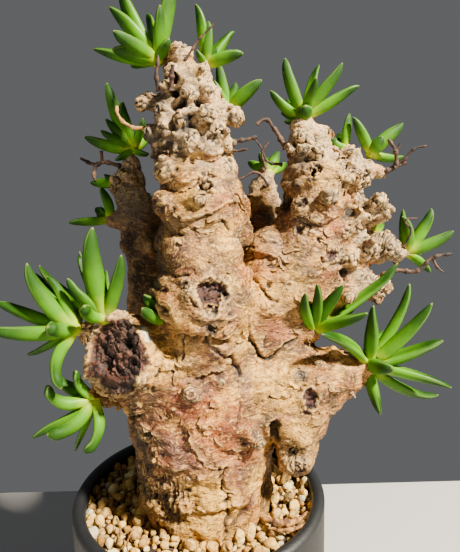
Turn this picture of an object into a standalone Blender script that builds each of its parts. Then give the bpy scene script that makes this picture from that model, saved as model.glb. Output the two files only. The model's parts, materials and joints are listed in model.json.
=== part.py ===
"""Potted caudex plant: a swollen trunk with knobbly arms, leaf rosettes, dry twigs, gravel and a pot.

Lengths in the tables are millimetres. +Z is up, the pot's underside is at z = 0 and the best side
looks to -Y.
"""

import math
import random

import bmesh
import bpy
import numpy as np
from mathutils import Matrix, Vector, geometry
from mathutils.bvhtree import BVHTree

MM = 0.001

# Pot
POT_RADIUS = 60.0
POT_HEIGHT = 100.0
POT_WALL = 6.0
POT_FLOOR = 5.0
POT_STEPS = 40
DRAIN_RADIUS = 3.5
DRAIN_CIRCLE = 30.0
DRAIN_HOLES = 4

# Gravel
GRAVEL_LEVEL = 91.0
STONE_PITCH = 7.6
STONE_RISE = 5
GRAVEL_PITCH = 3.0

# Fits
SEAT = 0.35
SOIL_GAP = 0.6
FOOT_Z = 67.0

# Caudex surface
VOXEL = 1.35
CAUDEX_TRIANGLES = 6500

# Each arm of the caudex: points along its middle as (x, y, z, radius)
LIMBS = {
    "trunk": [
        (5, 0, 64, 27), (4.5, 0, 78, 29), (4, 0, 92, 31.3), (3.5, 0, 106, 31.3), (3, 0, 120, 32.5),
        (3, 0, 138, 34.8), (4, 1, 152, 35), (8, 3, 168, 29),
    ],
    "main": [
        (4, -4, 168, 24), (6, -13.5, 185, 20.3), (6.5, -17, 196, 19.6), (5, -14, 206, 17.8),
        (4.5, -12, 217, 18.3), (6, -11, 226, 16.4), (6.6, -10, 233, 17.6), (5, -8, 242, 17),
        (2.5, -6.5, 250, 14.2), (2, -6, 258, 15.6), (3, -6, 266, 12.6), (3, -6, 273, 13.2),
        (2.5, -6, 283, 10.8), (0, -6, 291, 8), (0.5, -6, 296, 4.5),
    ],
    "wound_stub": [(-6, -8, 161, 22), (-19, -18, 169, 17.5), (-28.5, -27, 177, 13.2)],
    "left_back": [
        (-10, 8, 162, 20), (-18, 13, 186, 15), (-20.5, 19, 208, 13), (-25, 21, 228, 10.6),
        (-28.5, 20, 245, 7.4), (-28, 20, 257, 4.6),
    ],
    "right_main": [
        (18, 4, 160, 24), (30, 5, 175, 22.5), (43, 5, 195, 20.5), (51, 7, 208, 19), (55, 8, 219, 18),
        (58.5, 8, 235, 15.5), (56, 8, 251, 12), (53, 8, 263, 7.6), (52, 8, 271, 5.2),
    ],
    "right_shoulder": [(36, 3, 188, 20), (35, 2, 204, 15.5), (35.5, 2, 214, 10.5)],
    "right_upper": [(58, 8, 240, 12), (68, 8, 245, 9.5), (77, 6, 248.5, 6.4), (85, 6, 248, 4.6)],
    "right_upper_in": [(58, 8, 250, 7), (66, 8, 256, 5), (71, 8, 257, 3.4)],
    "right_side": [(54, 8, 218, 15), (68, 8, 224, 13), (78, 7, 229, 8.2), (87, 3, 231, 4.2)],
    "right_far": [
        (54, 6, 206, 16), (70, 7, 209, 12), (82, 8, 212, 7.6), (91, 8, 213, 5.2), (98, 8, 211, 3.4),
    ],
    "right_spur": [(52, 4, 192, 15), (70, 5, 196, 10), (81, 5, 196, 6), (89, 5, 196, 4.8)],
    "right_low": [
        (26, -2, 149, 24), (44, -6, 154, 19), (57, -8, 156, 16), (66, -8, 158, 12), (73, -9, 160, 7.6),
        (77, -10, 162, 4.8),
    ],
    "right_down": [(38, -8, 149, 16), (47, -12, 143, 12.5), (46, -15, 132, 10.5), (45.5, -17, 122, 8)],
    "back_middle": [
        (18, 22, 188, 18), (27, 32, 206, 17), (31, 40, 221, 14.5), (35, 42, 236, 10), (38, 42, 249, 4.8),
    ],
    "back_low": [(4, 22, 156, 19), (2, 42, 170, 13), (-2, 55, 184, 8.5), (-3, 60, 194, 4.8)],
    "bud_upper": [(-24, -20, 183, 7), (-31, -26, 190, 5.2)],
    "bud_left": [(-33, -20, 178, 7.5), (-42, -26, 186, 5)],
    "bud_low": [(-27, -18, 162, 9), (-37, -22, 157, 5)],
    "bud_crotch": [(-6, -14, 184, 7), (-9.5, -20, 188, 3.6)],
    "bud_fork": [(44, 0, 175, 9), (53, -7, 178, 4.6)],
    "bud_behind": [(8, 2, 266, 7), (18, 9, 274, 4.2)],
    "bud_crown": [(3, -5, 284, 8), (9.5, -4.5, 290, 3.8)],
    "bud_mid_in": [(72, 9, 222, 8), (84, 12, 218, 4)],
    "bud_left_a": [(-28, 20, 244, 6), (-35, 18.5, 246, 3.4)],
    "bud_left_b": [(-26, 20, 229, 8), (-38, 18, 229, 3.6)],
    "pale_stub": [(20, -24, 141, 6.5), (25, -28.4, 138.6, 4.8), (27.6, -30.8, 137, 3.5)],
    "cut_stub": [(0, -14, 236, 9), (-8.5, -23, 236.8, 3.4)],
    "crown_spur_left": [(0, -8, 268, 8), (-9, -10, 274, 4.4), (-15, -11, 277, 3.6)],
    "crown_spur_low": [(0, -8, 260, 8), (-14, -9, 264, 3.6)],
    "crown_spur_right": [(6, -6, 268, 8), (15, -8, 272, 4.6), (20, -6, 274, 4)],
}

# Knobs that stand out of the bark: (x, y, z, radius)
KNOBS = [
    (-10, -13, 274, 3), (-1, -19, 269, 3), (16, -13, 261, 3.4), (7, -20.5, 259, 3), (15, -13, 267, 2.8),
    (17, -10, 264, 3.2), (9, -18, 272, 3.2), (4, -18, 278, 2.8), (-6, -14, 281, 2.8), (9, -15, 282, 3.2),
    (12, -15, 276, 2.8), (-3, -14, 289, 2.8), (5, -14, 289, 2.8), (2, -17, 284, 2.8), (3, -19.5, 266, 2.6),
    (-8, -16, 267, 2.8), (-7, -19.5, 250, 3.2), (7, -27.5, 238, 2.9), (59, -7.5, 237, 3), (44, 2, 258, 2.8),
    (49, -1, 257, 3), (53, -1, 262, 2.9), (58, -3, 257, 2.6), (47, -1, 251, 2.5), (63, -4, 249, 3),
    (68, -3, 244, 3), (72, 0, 251, 3), (65, -6, 234, 3), (56, -9, 230, 2.6), (48, -3.5, 243, 2.6),
    (69, -4, 193, 2.9), (65, -19, 160, 4.4), (62, -13, 170, 3.2), (54, -19.5, 168, 2.2),
    (32, -25, 144, 2.6), (54, -22, 144, 3), (49, -23.5, 134, 2.8), (39, -22.5, 140, 3),
    (-17, -19, 107, 7), (-12, -23, 103, 6.5), (-5, -28, 112, 5), (6, -25, 99, 9), (22, -19, 103, 7),
    (27, -8, 100, 7.5), (-20.5, -6, 98, 8),
    (-19, 9, 100, 9), (-9, 22, 101, 9), (13, 23, 101, 9), (26, 10, 102, 8), (1, -32.4, 161.4, 3.6),
    (21, -24.5, 124, 4), (-14, -28, 128, 3.6), (-19, -26.5, 142, 3.4), (13, -28.6, 165, 3.2),
    (24, -19, 207, 3), (-7, -30.5, 201, 2.4), (21, -6, 233, 6.4), (21, -5, 223, 6.4), (19, -4, 243, 5),
    (91, 5, 213, 5.2), (89, 5, 196, 4.8),
    (30, 26, 150, 8), (-22, 22, 148, 7), (44, 22, 172, 8), (0, 34, 132, 7), (-30, 4, 158, 6),
]

# Bands where small knobs crowd an arm: limb, lowest z, highest z, how many
CROWDS = [
    ("main", 246, 290, 30), ("right_main", 226, 266, 22), ("right_upper", 242, 253, 8),
    ("right_side", 220, 232, 9), ("right_far", 208, 215, 8), ("right_spur", 193, 198, 6),
    ("left_back", 200, 252, 14), ("back_middle", 205, 244, 10), ("back_low", 165, 190, 6),
]

# Pits and broken-off scars: (x, y, z, radius, depth, raised edge)
PITS = [
    (10, -35.8, 202.4, 6, 1.8, 1), (9.5, -26.5, 243.3, 3.3, 2.6, 0.7), (53.5, -6.3, 247.6, 2.8, 2, 0.6),
    (63, -10.7, 212, 3.6, 1.5, 0.5), (50, -26.4, 154, 4.2, 1.6, 0.6), (41.5, -25.5, 130.5, 5, 2.2, 0.9),
    (46, -23.8, 164, 2.8, 0.8, 0.5), (28.6, -33.6, 136, 1.9, 1.4, 0.4), (1, -36, 161.8, 1.8, 0.8, 0.5),
    (13, -31.4, 165, 3, 1, 0.5), (-9, -24.5, 236.8, 2, 1, 0.5), (12.5, -32.5, 118, 3, 1.4, 0.4),
    (-16, -11, 277.4, 2.2, 1.5, 0.5), (59.5, -10.5, 237, 1.8, 1, 0.4), (45, -23, 119.5, 4.5, 2, 0.8),
]

# Lifted edges of bark, followed from end to end: points, reach along the arm, lift
LEDGES = [
    ([(-12, -16, 247.3), (-7, -22.4, 244.9), (-1.4, -26.4, 242.4), (3.8, -27, 244.9), (12.6, -24, 248.2),
      (20.6, -16, 249.2), (24, -4, 248)], 8, 1.5),
    ([(-13, -12, 232), (-10, -21.8, 231), (-6, -26.5, 228.7), (0, -30, 226.4), (5.2, -31, 226),
      (14.8, -28.3, 227.9), (18, -26.6, 225), (23, -20, 222.7), (25, -8, 223)], 9, 1.6),
    ([(-13, -12, 259), (-12.7, -15.6, 258), (-4.8, -22.3, 254), (3, -24, 255), (11, -21.6, 256.8),
      (17, -16, 256.4)], 5, 1),
    ([(-13, -22, 199), (-8, -31, 192), (0, -35, 186.5), (9, -36.5, 183), (18, -32, 187), (24, -21, 196)],
     9, 2.6),
    ([(-8, -34, 153), (-0.6, -36, 145.5), (3.5, -36.5, 137.4), (9.2, -34.8, 129.2)], 4, 0.9),
    ([(-24, -20, 104), (-8, -33, 110), (-4, -33.5, 109), (3.5, -34, 108.4), (11, -32, 108.5),
      (24, -24, 106)], 6, 1.2),
]

# The sawn face of the stub at the left: a point on it, the way it looks, its reach, its hollow
WOUND_AT = (-28.0, -34.6, 178.4)
WOUND_FACING = (-0.46, -0.86, 0.2)
WOUND_REACH = 17.0
WOUND_RADIUS = 9.6
WOUND_HOLLOW = 3.0

# Each leaf: (turn in the front plane from up towards +X, lean to the front, length, thickness, bend),
# in degrees and mm
ROSETTES = {
    "crown_left": ((-10, -8, 294), [
        (-84, 35, 19, 5.5, -8), (-78, 0, 26, 4.4, 8), (-40, 10, 26, 5.4, -5), (-25, 0, 32, 6.4, 5),
        (17, 5, 31, 6.0, 8), (10, 25, 20, 4.4, 0), (-11, -30, 27, 4.2, 0), (-66, 45, 22, 4.6, 0),
        (46, 40, 11, 4.0, 10), (-96, -14, 12, 4.0, -20), (-30, -62, 24, 5, 0), (24, -58, 22, 5, 0),
    ]),
    "crown_right": ((10, -4, 293), [
        (-6, 6, 23, 4.4, -6), (6, 10, 16, 4.2, 5), (36, -20, 20, 4.4, 5), (77, 15, 16, 4.6, 8),
        (20, -60, 18, 4.4, 0), (-40, 30, 7, 3, 0),
    ]),
    "behind_main": ((19, 10, 277), [
        (-12, 0, 21, 4, 6), (-30, 20, 14, 3.8, 10), (17, 0, 12, 3.8, 0), (51, 10, 19, 4.9, 8),
        (40, -55, 20, 4.4, 0), (-10, -65, 18, 4.4, 0),
    ]),
    "right_top": ((52, 8, 273), [
        (-20, 0, 26, 4.6, 4), (18, -25, 29, 3.6, 0), (18, 35, 18, 3.8, 6), (40, 10, 27, 4.6, 4),
        (61, 5, 27, 4.4, -6), (-54, 10, 19, 3.8, 22), (-9, 70, 9, 5.6, 0), (-35, -35, 14, 3.4, 0),
        (-104, 5, 9, 3.4, 10), (30, -62, 22, 4.4, 0), (-60, -58, 18, 4.2, 0),
    ]),
    "right_upper": ((82, 6, 256), [
        (-28, 5, 18, 4, -4), (50, 0, 19, 4.6, 10), (30, 30, 9, 4.6, 0), (97, -20, 18, 3.6, -10),
        (20, -58, 18, 4.2, 0), (70, -60, 17, 4.2, 0),
    ]),
    "right_upper_in": ((71, 8, 259), [
        (-57, 5, 9, 3.8, 40), (6, 0, 15, 3.6, 10), (-10, -50, 12, 3.6, 0),
    ]),
    "right_mid_in": ((86, 12, 220), [
        (-30, -6, 12, 3.8, -4), (2, 4, 11, 3.6, 0), (26, -10, 11, 3.6, 6), (60, -55, 15, 4, 0),
    ]),
    "right_far": ((100, 8, 211), [
        (-9, 10, 18, 4.4, -22), (33, 0, 23, 4.4, -8), (68, 5, 23, 4.6, -8), (129, 0, 16, 3.8, 12),
        (10, -35, 24, 4.6, -4), (60, -60, 20, 4.4, 0), (100, -45, 16, 4, 0),
    ]),
    "right_fork": ((54, -8, 179), [
        (-10, 0, 20, 4, 20), (6, 0, 22, 4, -6), (30, 10, 25, 4.2, 10), (48, -28, 33, 4, 10),
        (57, -8, 49, 4.2, -3), (76, -34, 28, 3.6, 0), (62, 34, 27, 4.8, 6),
    ]),
    "right_low": ((78, -10, 163), [
        (-49, 30, 38, 4.6, -22), (-2, 15, 30, 5, -18), (9, -16, 24, 4, 0), (30, -5, 41, 4.6, -14),
        (41, 12, 39, 4.6, -10), (70, 5, 34, 5.6, -6), (60, 62, 16, 6, 0), (102, 14, 36, 5, 8),
        (120, -5, 39, 4.8, -14), (170, 25, 22, 5.4, 4), (60, -52, 30, 5, 0), (110, -50, 26, 5, 0),
    ]),
    "stub_upper": ((-33, -28, 192), [
        (-5, 5, 37, 6.2, 10), (21, 10, 28, 4.4, -4), (-26, -20, 30, 3.4, 0), (-37, 15, 22, 4, 0),
        (-56, -12, 36, 4.2, 6), (-29, 50, 16, 4, 60), (-9, -38, 22, 3.8, 0), (10, -55, 22, 4.6, 0),
    ]),
    "stub_left": ((-45, -29, 188), [
        (-30, 12, 33, 5.4, 18), (-20, 0, 24, 3.8, -6), (-41, -22, 32, 3.6, 0), (-68, 0, 33, 4.2, 8),
        (-86, 15, 31, 5.2, 10), (-118, 0, 23, 3.2, 0), (-62, -35, 30, 3.6, 0), (-60, 52, 14, 4.6, 30),
        (-140, 15, 20, 4.2, -40), (-80, -60, 26, 4.6, 0), (-30, -62, 24, 4.6, 0),
    ]),
    "stub_low": ((-41, -24, 156), [
        (-14, 20, 18, 3.6, 20), (-31, 28, 21, 4, 50), (-117, 10, 30, 3.8, 10), (-130, 38, 18, 4.8, 16),
        (-154, -10, 30, 3.2, 0), (168, 25, 17, 4.2, 20), (-80, -35, 26, 4.4, 10), (-60, -8, 20, 3.8, 30),
        (-110, -58, 24, 4.4, 0),
    ]),
    "left_back_top": ((-27, 20, 262), [
        (-20, 0, 32, 5, 8), (-12, 5, 22, 4, 0), (-75, 5, 23, 5.2, 10), (-40, 12, 18, 3.6, 0),
        (-60, 26, 17, 3.4, 0), (24, 0, 15, 3.6, 0), (-124, 30, 11, 3.4, 0), (110, 20, 9, 3.4, 0),
        (-50, -50, 24, 4.6, 0), (30, -58, 22, 4.6, 0), (-5, -60, 24, 4.6, 0),
    ]),
    "left_back_a": ((-36, 18, 246), [(-86, 0, 12, 3.6, 0), (-60, -50, 12, 3.6, 0)]),
    "left_back_b": ((-40, 18, 229), [
        (-13, 0, 16, 4.4, -20), (-91, 10, 19, 3.8, 0), (-60, -45, 16, 4, 0),
    ]),
    "crotch": ((-10, -22, 189), [(-33, 20, 15, 4, -10), (-45, 48, 16, 4, 20)]),
    "back_top": ((39, 42, 251), [
        (-24, -10, 11, 3.6, 0), (30, -20, 13, 4, 0), (0, -60, 18, 4.4, 0), (70, -50, 18, 4.4, 0),
        (-60, -50, 18, 4.4, 0), (40, -75, 16, 4.2, 0),
    ]),
    "back_low": ((-3, 61, 196), [
        (0, -10, 22, 4.8, 0), (-50, -20, 24, 4.8, 0), (50, -20, 24, 4.8, 0), (-20, -55, 28, 5, 0),
        (30, -60, 28, 5, 0), (-90, -50, 22, 4.6, 0), (95, -45, 22, 4.6, 0), (180, -50, 20, 4.6, 0),
    ]),
}

# Dry twigs: points along each with their radii, first point sunk in the caudex
TWIGS = {
    "twig_left": [
        [(-24, 19, 252, 1.2), (-34, 17, 254.5, 0.9), (-41, 16, 256, 0.8), (-44, 16, 255, 0.8),
         (-51, 15, 258, 0.6)],
        [(-41, 16, 256, 0.8), (-41, 15, 261, 0.6)],
        [(-44, 16, 255, 0.8), (-45, 14, 250, 0.8), (-44, 13, 247, 0.6)],
    ],
    "twig_crown": [
        [(-12, -9, 264, 1.4), (-16.5, -11, 267, 1.2), (-21, -12, 267.5, 1), (-26.5, -12, 273, 0.9),
         (-26.5, -12, 276, 0.8)],
    ],
    "twig_right_upper": [
        [(84, 5, 248, 1.2), (91.5, 3, 249.5, 0.9), (91.5, 2, 256.5, 0.8), (88, 1, 261.5, 0.6)],
        [(91.5, 2, 256.5, 0.8), (93.5, 1, 259.5, 0.6)],
        [(91.5, 3, 249.5, 0.9), (96.5, 2, 251.5, 0.6)],
    ],
    "twig_right_low": [
        [(84, 3, 199, 1.2), (92, 0, 203.5, 0.9), (102, -2, 203.5, 0.9), (108, -3, 209.5, 0.8),
         (116, -4, 211, 0.6)],
    ],
    "twig_inner": [
        [(44, 6, 259, 1.2), (38.5, 5, 268, 0.8), (35, 4, 271.5, 0.7), (31, 4, 269.5, 0.6)],
    ],
}

LEAF_GREEN = (0.16, 0.36, 0.03)
COLOURS = {
    "pot": ((0.012, 0.013, 0.014), 0.55),
    "substrate": ((0.52, 0.4, 0.25), 0.9),
    "caudex": ((0.47, 0.3, 0.16), 0.8),
}
TWIG_BROWN = (0.09, 0.055, 0.035)


def clear_scene():
    """Remove every object and leftover mesh."""
    for obj in list(bpy.data.objects):
        bpy.data.objects.remove(obj, do_unlink=True)
    for mesh in list(bpy.data.meshes):
        bpy.data.meshes.remove(mesh)


def collection(name):
    """A new collection under the scene's own."""
    made = bpy.data.collections.new(name)
    bpy.context.scene.collection.children.link(made)
    return made


def material(name, colour, roughness):
    """A plain Principled material of its own for each piece."""
    made = bpy.data.materials.new(name)
    made.use_nodes = True
    shader = made.node_tree.nodes["Principled BSDF"]
    shader.inputs["Base Color"].default_value = (*colour, 1)
    shader.inputs["Roughness"].default_value = roughness
    made.diffuse_color = (*colour, 1)
    return made


def mesh_object(name, points, faces, into):
    """A mesh object from millimetre points."""
    mesh = bpy.data.meshes.new(name)
    metres = [tuple(MM * value for value in point) for point in points]
    mesh.from_pydata(metres, [], [tuple(face) for face in faces])
    mesh.update()
    obj = bpy.data.objects.new(name, mesh)
    into.objects.link(obj)
    return obj


def apply_modifiers(obj):
    """Replace the object's mesh with what its modifiers make of it."""
    graph = bpy.context.evaluated_depsgraph_get()
    graph.update()
    made = bpy.data.meshes.new_from_object(obj.evaluated_get(graph))
    old = obj.data
    obj.modifiers.clear()
    obj.data = made
    bpy.data.meshes.remove(old)
    made.name = obj.name


def drop(objects):
    """Remove helper objects."""
    for obj in list(objects):
        bpy.data.objects.remove(obj, do_unlink=True)


def keep_largest(obj):
    """Drop loose scraps and sealed hollows: only the piece with the most volume stays."""
    bm = bmesh.new()
    bm.from_mesh(obj.data)
    seen = set()
    groups = []
    for start in bm.verts:
        if start.index in seen:
            continue
        stack = [start]
        seen.add(start.index)
        group = []
        while stack:
            vert = stack.pop()
            group.append(vert)
            for edge in vert.link_edges:
                other = edge.other_vert(vert)
                if other.index not in seen:
                    seen.add(other.index)
                    stack.append(other)
        faces = {face for vert in group for face in vert.link_faces}
        volume = sum(face.calc_center_median().dot(face.normal) * face.calc_area() for face in faces)
        groups.append((volume, group))
    groups.sort(key=lambda item: item[0])
    bmesh.ops.delete(bm, geom=[vert for _, group in groups[:-1] for vert in group], context="VERTS")
    bm.to_mesh(obj.data)
    bm.free()


def shade_smooth(obj):
    """Smooth shading for a grown or turned piece."""
    obj.data.polygons.foreach_set("use_smooth", [True] * len(obj.data.polygons))


def boolean(obj, operation, other=None, pieces=None, solver="MANIFOLD"):
    """Add one Boolean with an object or a whole collection and apply it."""
    cut = obj.modifiers.new(operation.title(), "BOOLEAN")
    cut.operation = operation
    cut.solver = solver
    if pieces is None:
        cut.object = other
    else:
        cut.operand_type = "COLLECTION"
        cut.collection = pieces
    apply_modifiers(obj)


def tube(name, points, into, round_ends=True, sides=6, steps=6):
    """A closed tube along a smooth curve through (x, y, z, radius) points, as a mesh."""
    data = bpy.data.curves.new(name, "CURVE")
    data.dimensions = "3D"
    data.bevel_depth = MM
    data.bevel_resolution = sides
    data.resolution_u = steps
    data.use_fill_caps = True
    spline = data.splines.new("BEZIER")
    spline.radius_interpolation = "CARDINAL"
    spline.bezier_points.add(len(points) - 1)
    for knot, (x, y, z, radius) in zip(spline.bezier_points, points):
        knot.co = (x * MM, y * MM, z * MM)
        knot.radius = radius
        knot.handle_left_type = "AUTO"
        knot.handle_right_type = "AUTO"
    guide = bpy.data.objects.new(name, data)
    into.objects.link(guide)
    graph = bpy.context.evaluated_depsgraph_get()
    graph.update()
    mesh = bpy.data.meshes.new_from_object(guide.evaluated_get(graph))
    drop([guide])
    bm = bmesh.new()
    bm.from_mesh(mesh)
    bmesh.ops.remove_doubles(bm, verts=bm.verts, dist=1e-6)
    if round_ends:
        x, y, z, radius = points[-1]
        at = Matrix.Translation((x * MM, y * MM, z * MM))
        bmesh.ops.create_icosphere(bm, subdivisions=2, radius=radius * MM, matrix=at)
    bmesh.ops.recalc_face_normals(bm, faces=bm.faces)
    bm.to_mesh(mesh)
    bm.free()
    obj = bpy.data.objects.new(name, mesh)
    into.objects.link(obj)
    return obj


def ball(points_list, name, into, subdivisions=2):
    """Balls at (x, y, z, radius) in one mesh."""
    bm = bmesh.new()
    for x, y, z, radius in points_list:
        at = Matrix.Translation((x * MM, y * MM, z * MM))
        bmesh.ops.create_icosphere(bm, subdivisions=subdivisions, radius=radius * MM, matrix=at)
    mesh = bpy.data.meshes.new(name)
    bm.to_mesh(mesh)
    bm.free()
    obj = bpy.data.objects.new(name, mesh)
    into.objects.link(obj)
    return obj


def crowd_knobs():
    """Small knobs scattered round the upper arms by rule."""
    chance = random.Random(11)
    found = []
    for limb, low, high, count in CROWDS:
        points = LIMBS[limb]
        while count:
            a, b = chance.choice(list(zip(points[:-1], points[1:])))
            t = chance.random()
            middle = [a[i] + (b[i] - a[i]) * t for i in range(4)]
            if not low <= middle[2] <= high:
                continue
            axis = Vector(b[:3]) - Vector(a[:3])
            side = axis.orthogonal().normalized()
            side.rotate(Matrix.Rotation(chance.uniform(0, math.tau), 3, axis.normalized()))
            size = chance.uniform(1.8, 3.2)
            at = Vector(middle[:3]) + side * (middle[3] + 0.15 * size)
            found.append((*at, size))
            count -= 1
    return found


def texture(name, kind, size):
    """A procedural texture for a Displace modifier."""
    made = bpy.data.textures.new(name, kind)
    made.noise_scale = size * MM
    return made


def segment_distance(points, a, b):
    """Distance of each point from the segment a-b, and its offset from the nearest place on it."""
    a = np.array(a, float)
    b = np.array(b, float)
    along = np.clip((points - a) @ (b - a) / ((b - a) @ (b - a)), 0, 1)
    offset = points - (a + along[:, None] * (b - a))
    return np.linalg.norm(offset, axis=1), offset


def bark_relief(points):
    """Height in mm of pits, scars and lifted bark edges at each point of the surface."""
    height = np.zeros(len(points))
    for x, y, z, radius, depth, edge in PITS:
        reach = np.linalg.norm(points - (x, y, z), axis=1) / radius
        height -= depth * np.clip(1.15 - reach, 0, 0.6) / 0.6
        height += edge * np.exp(-(((reach - 1.25) / 0.28) ** 2))
    for line, reach, lift in LEDGES:
        best = np.full(len(points), 1e9)
        rise = np.zeros(len(points))
        for a, b in zip(line[:-1], line[1:]):
            distance, offset = segment_distance(points, a, b)
            nearer = distance < best
            best[nearer] = distance[nearer]
            rise[nearer] = offset[nearer, 2]
        above = np.clip(rise / 1.2, 0, 1) * np.clip(1 - best / reach, 0, 1)
        below = np.clip(-rise / 1.2, 0, 1) * np.clip(1 - best / (0.6 * reach), 0, 1)
        height += lift * above - 0.5 * lift * below
    return height


def build_caudex(into, helpers):
    """Trunk, arms, stubs and knobs grown together as one skin."""
    pieces = [tube(name, points, helpers, sides=10) for name, points in LIMBS.items()]
    pieces.append(ball(KNOBS + crowd_knobs(), "knobs", helpers))
    bm = bmesh.new()
    for piece in pieces:
        bm.from_mesh(piece.data)
    mesh = bpy.data.meshes.new("caudex")
    bm.to_mesh(mesh)
    bm.free()
    drop(pieces)
    caudex = bpy.data.objects.new("caudex", mesh)
    into.objects.link(caudex)

    skin = caudex.modifiers.new("Grow together", "REMESH")
    skin.mode = "VOXEL"
    skin.voxel_size = VOXEL * MM
    soften = caudex.modifiers.new("Soften", "SMOOTH")
    soften.factor = 0.5
    soften.iterations = 3
    for name, kind, size, strength in (("lumps", "CLOUDS", 13, 3.2), ("warts", "VORONOI", 6, 1.1)):
        bumps = caudex.modifiers.new(name, "DISPLACE")
        bumps.texture = texture(name, kind, size)
        bumps.texture_coords = "LOCAL"
        bumps.strength = strength * MM
    apply_modifiers(caudex)

    mesh = caudex.data
    points = np.empty(len(mesh.vertices) * 3)
    normals = np.empty(len(mesh.vertices) * 3)
    mesh.vertices.foreach_get("co", points)
    mesh.vertex_normals.foreach_get("vector", normals)
    points = points.reshape(-1, 3) / MM
    normals = normals.reshape(-1, 3)
    points += normals * bark_relief(points)[:, None]
    facing = np.array(WOUND_FACING) / np.linalg.norm(WOUND_FACING)
    out = (points - WOUND_AT) @ facing
    aside = np.linalg.norm(points - WOUND_AT - out[:, None] * facing, axis=1)
    hollow = np.clip((WOUND_RADIUS - aside) / 1.4, 0, 1) * WOUND_HOLLOW
    near = np.linalg.norm(points - WOUND_AT, axis=1) < WOUND_REACH
    over = (out > -hollow) & near
    points[over] -= ((out + hollow)[:, None] * facing)[over]
    points[:, 2] = np.maximum(points[:, 2], FOOT_Z)
    mesh.vertices.foreach_set("co", (points * MM).ravel())
    mesh.update()

    skin = caudex.modifiers.new("Close", "REMESH")
    skin.mode = "VOXEL"
    skin.voxel_size = VOXEL * MM
    apply_modifiers(caudex)
    keep_largest(caudex)
    thin = caudex.modifiers.new("Facets", "DECIMATE")
    thin.ratio = CAUDEX_TRIANGLES / (2 * len(caudex.data.polygons))
    thin.use_collapse_triangulate = True
    apply_modifiers(caudex)
    shade_smooth(caudex)
    return caudex


def swollen(obj, by, name, into):
    """A copy of a piece pushed out by a small gap, for cutting seats."""
    mesh = obj.data.copy()
    copy = bpy.data.objects.new(name, mesh)
    into.objects.link(copy)
    points = np.empty(len(mesh.vertices) * 3)
    normals = np.empty(len(mesh.vertices) * 3)
    mesh.vertices.foreach_get("co", points)
    mesh.vertex_normals.foreach_get("vector", normals)
    mesh.vertices.foreach_set("co", points + normals * by * MM)
    mesh.update()
    copy.display_type = "WIRE"
    return copy


def leaf(base, turn, lean, length, thickness, bend, name, into, sides=5):
    """One thick tapering leaf, rooted 2 mm behind its base and pointed at its tip."""
    stations = [(-2.0 / length, 0.55), (0.22, 0.98), (0.6, 1.08), (0.86, 0.72)]
    if length < 17:
        stations = [(-2.0 / length, 0.55), (0.35, 1.05), (0.82, 0.8)]
    points = []
    at = Vector(base)
    last = 0.0
    side_of = Vector((0, 1, 0))
    rings = []
    for t, width in stations + [(1.0, 0.0)]:
        angle = math.radians(turn + bend * (2 * max(t, 0) - 1))
        tilt = math.radians(lean)
        flat = math.cos(tilt)
        way = Vector((math.sin(angle) * flat, -math.sin(tilt), math.cos(angle) * flat))
        at = at + way * (length * (t - last))
        last = t
        across = way.cross(side_of).normalized()
        up = across.cross(way).normalized()
        if width == 0:
            points.append(tuple(at))
            continue
        ring = []
        for k in range(sides):
            spin = math.tau * (k + 0.5) / sides
            offset = across * math.cos(spin) * 0.56 + up * math.sin(spin) * 0.48
            ring.append(len(points))
            points.append(tuple(at + offset * thickness * width))
        rings.append(ring)
    tip = len(points) - 1
    faces = [list(reversed(rings[0]))]
    for low, high in zip(rings[:-1], rings[1:]):
        for k in range(sides):
            j = (k + 1) % sides
            faces.append((low[k], low[j], high[j], high[k]))
    for k in range(sides):
        faces.append((rings[-1][k], rings[-1][(k + 1) % sides], tip))
    obj = mesh_object(name, points, faces, into)
    bm = bmesh.new()
    bm.from_mesh(obj.data)
    bmesh.ops.recalc_face_normals(bm, faces=bm.faces)
    bm.to_mesh(obj.data)
    bm.free()
    return obj


def build_rosette(name, base, leaves, seat, into, helpers):
    """A bunch of leaves fused at a small bud and seated on the caudex."""
    own = bpy.data.collections.new(name + "_leaves")
    helpers.children.link(own)
    size = 3.1 if len(leaves) > 4 else 2.3
    rosette = ball([(*base, size)], name, into, subdivisions=1)
    for index, values in enumerate(leaves):
        leaf(base, *values, f"{name}_leaf_{index}", own)
    boolean(rosette, "UNION", pieces=own)
    drop(own.objects)
    bpy.data.collections.remove(own)
    boolean(rosette, "DIFFERENCE", other=seat)
    keep_largest(rosette)
    shade_smooth(rosette)
    return rosette


def build_twig(name, branches, seat, into, helpers):
    """A dry twig with its side twigs fused."""
    twig = tube(name, branches[0], into, round_ends=False, sides=0, steps=2)
    for index, branch in enumerate(branches[1:]):
        side = tube(f"{name}_{index}", branch, helpers, round_ends=False, sides=0, steps=2)
        boolean(twig, "UNION", other=side)
        drop([side])
    boolean(twig, "DIFFERENCE", other=seat)
    keep_largest(twig)
    shade_smooth(twig)
    return twig


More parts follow.
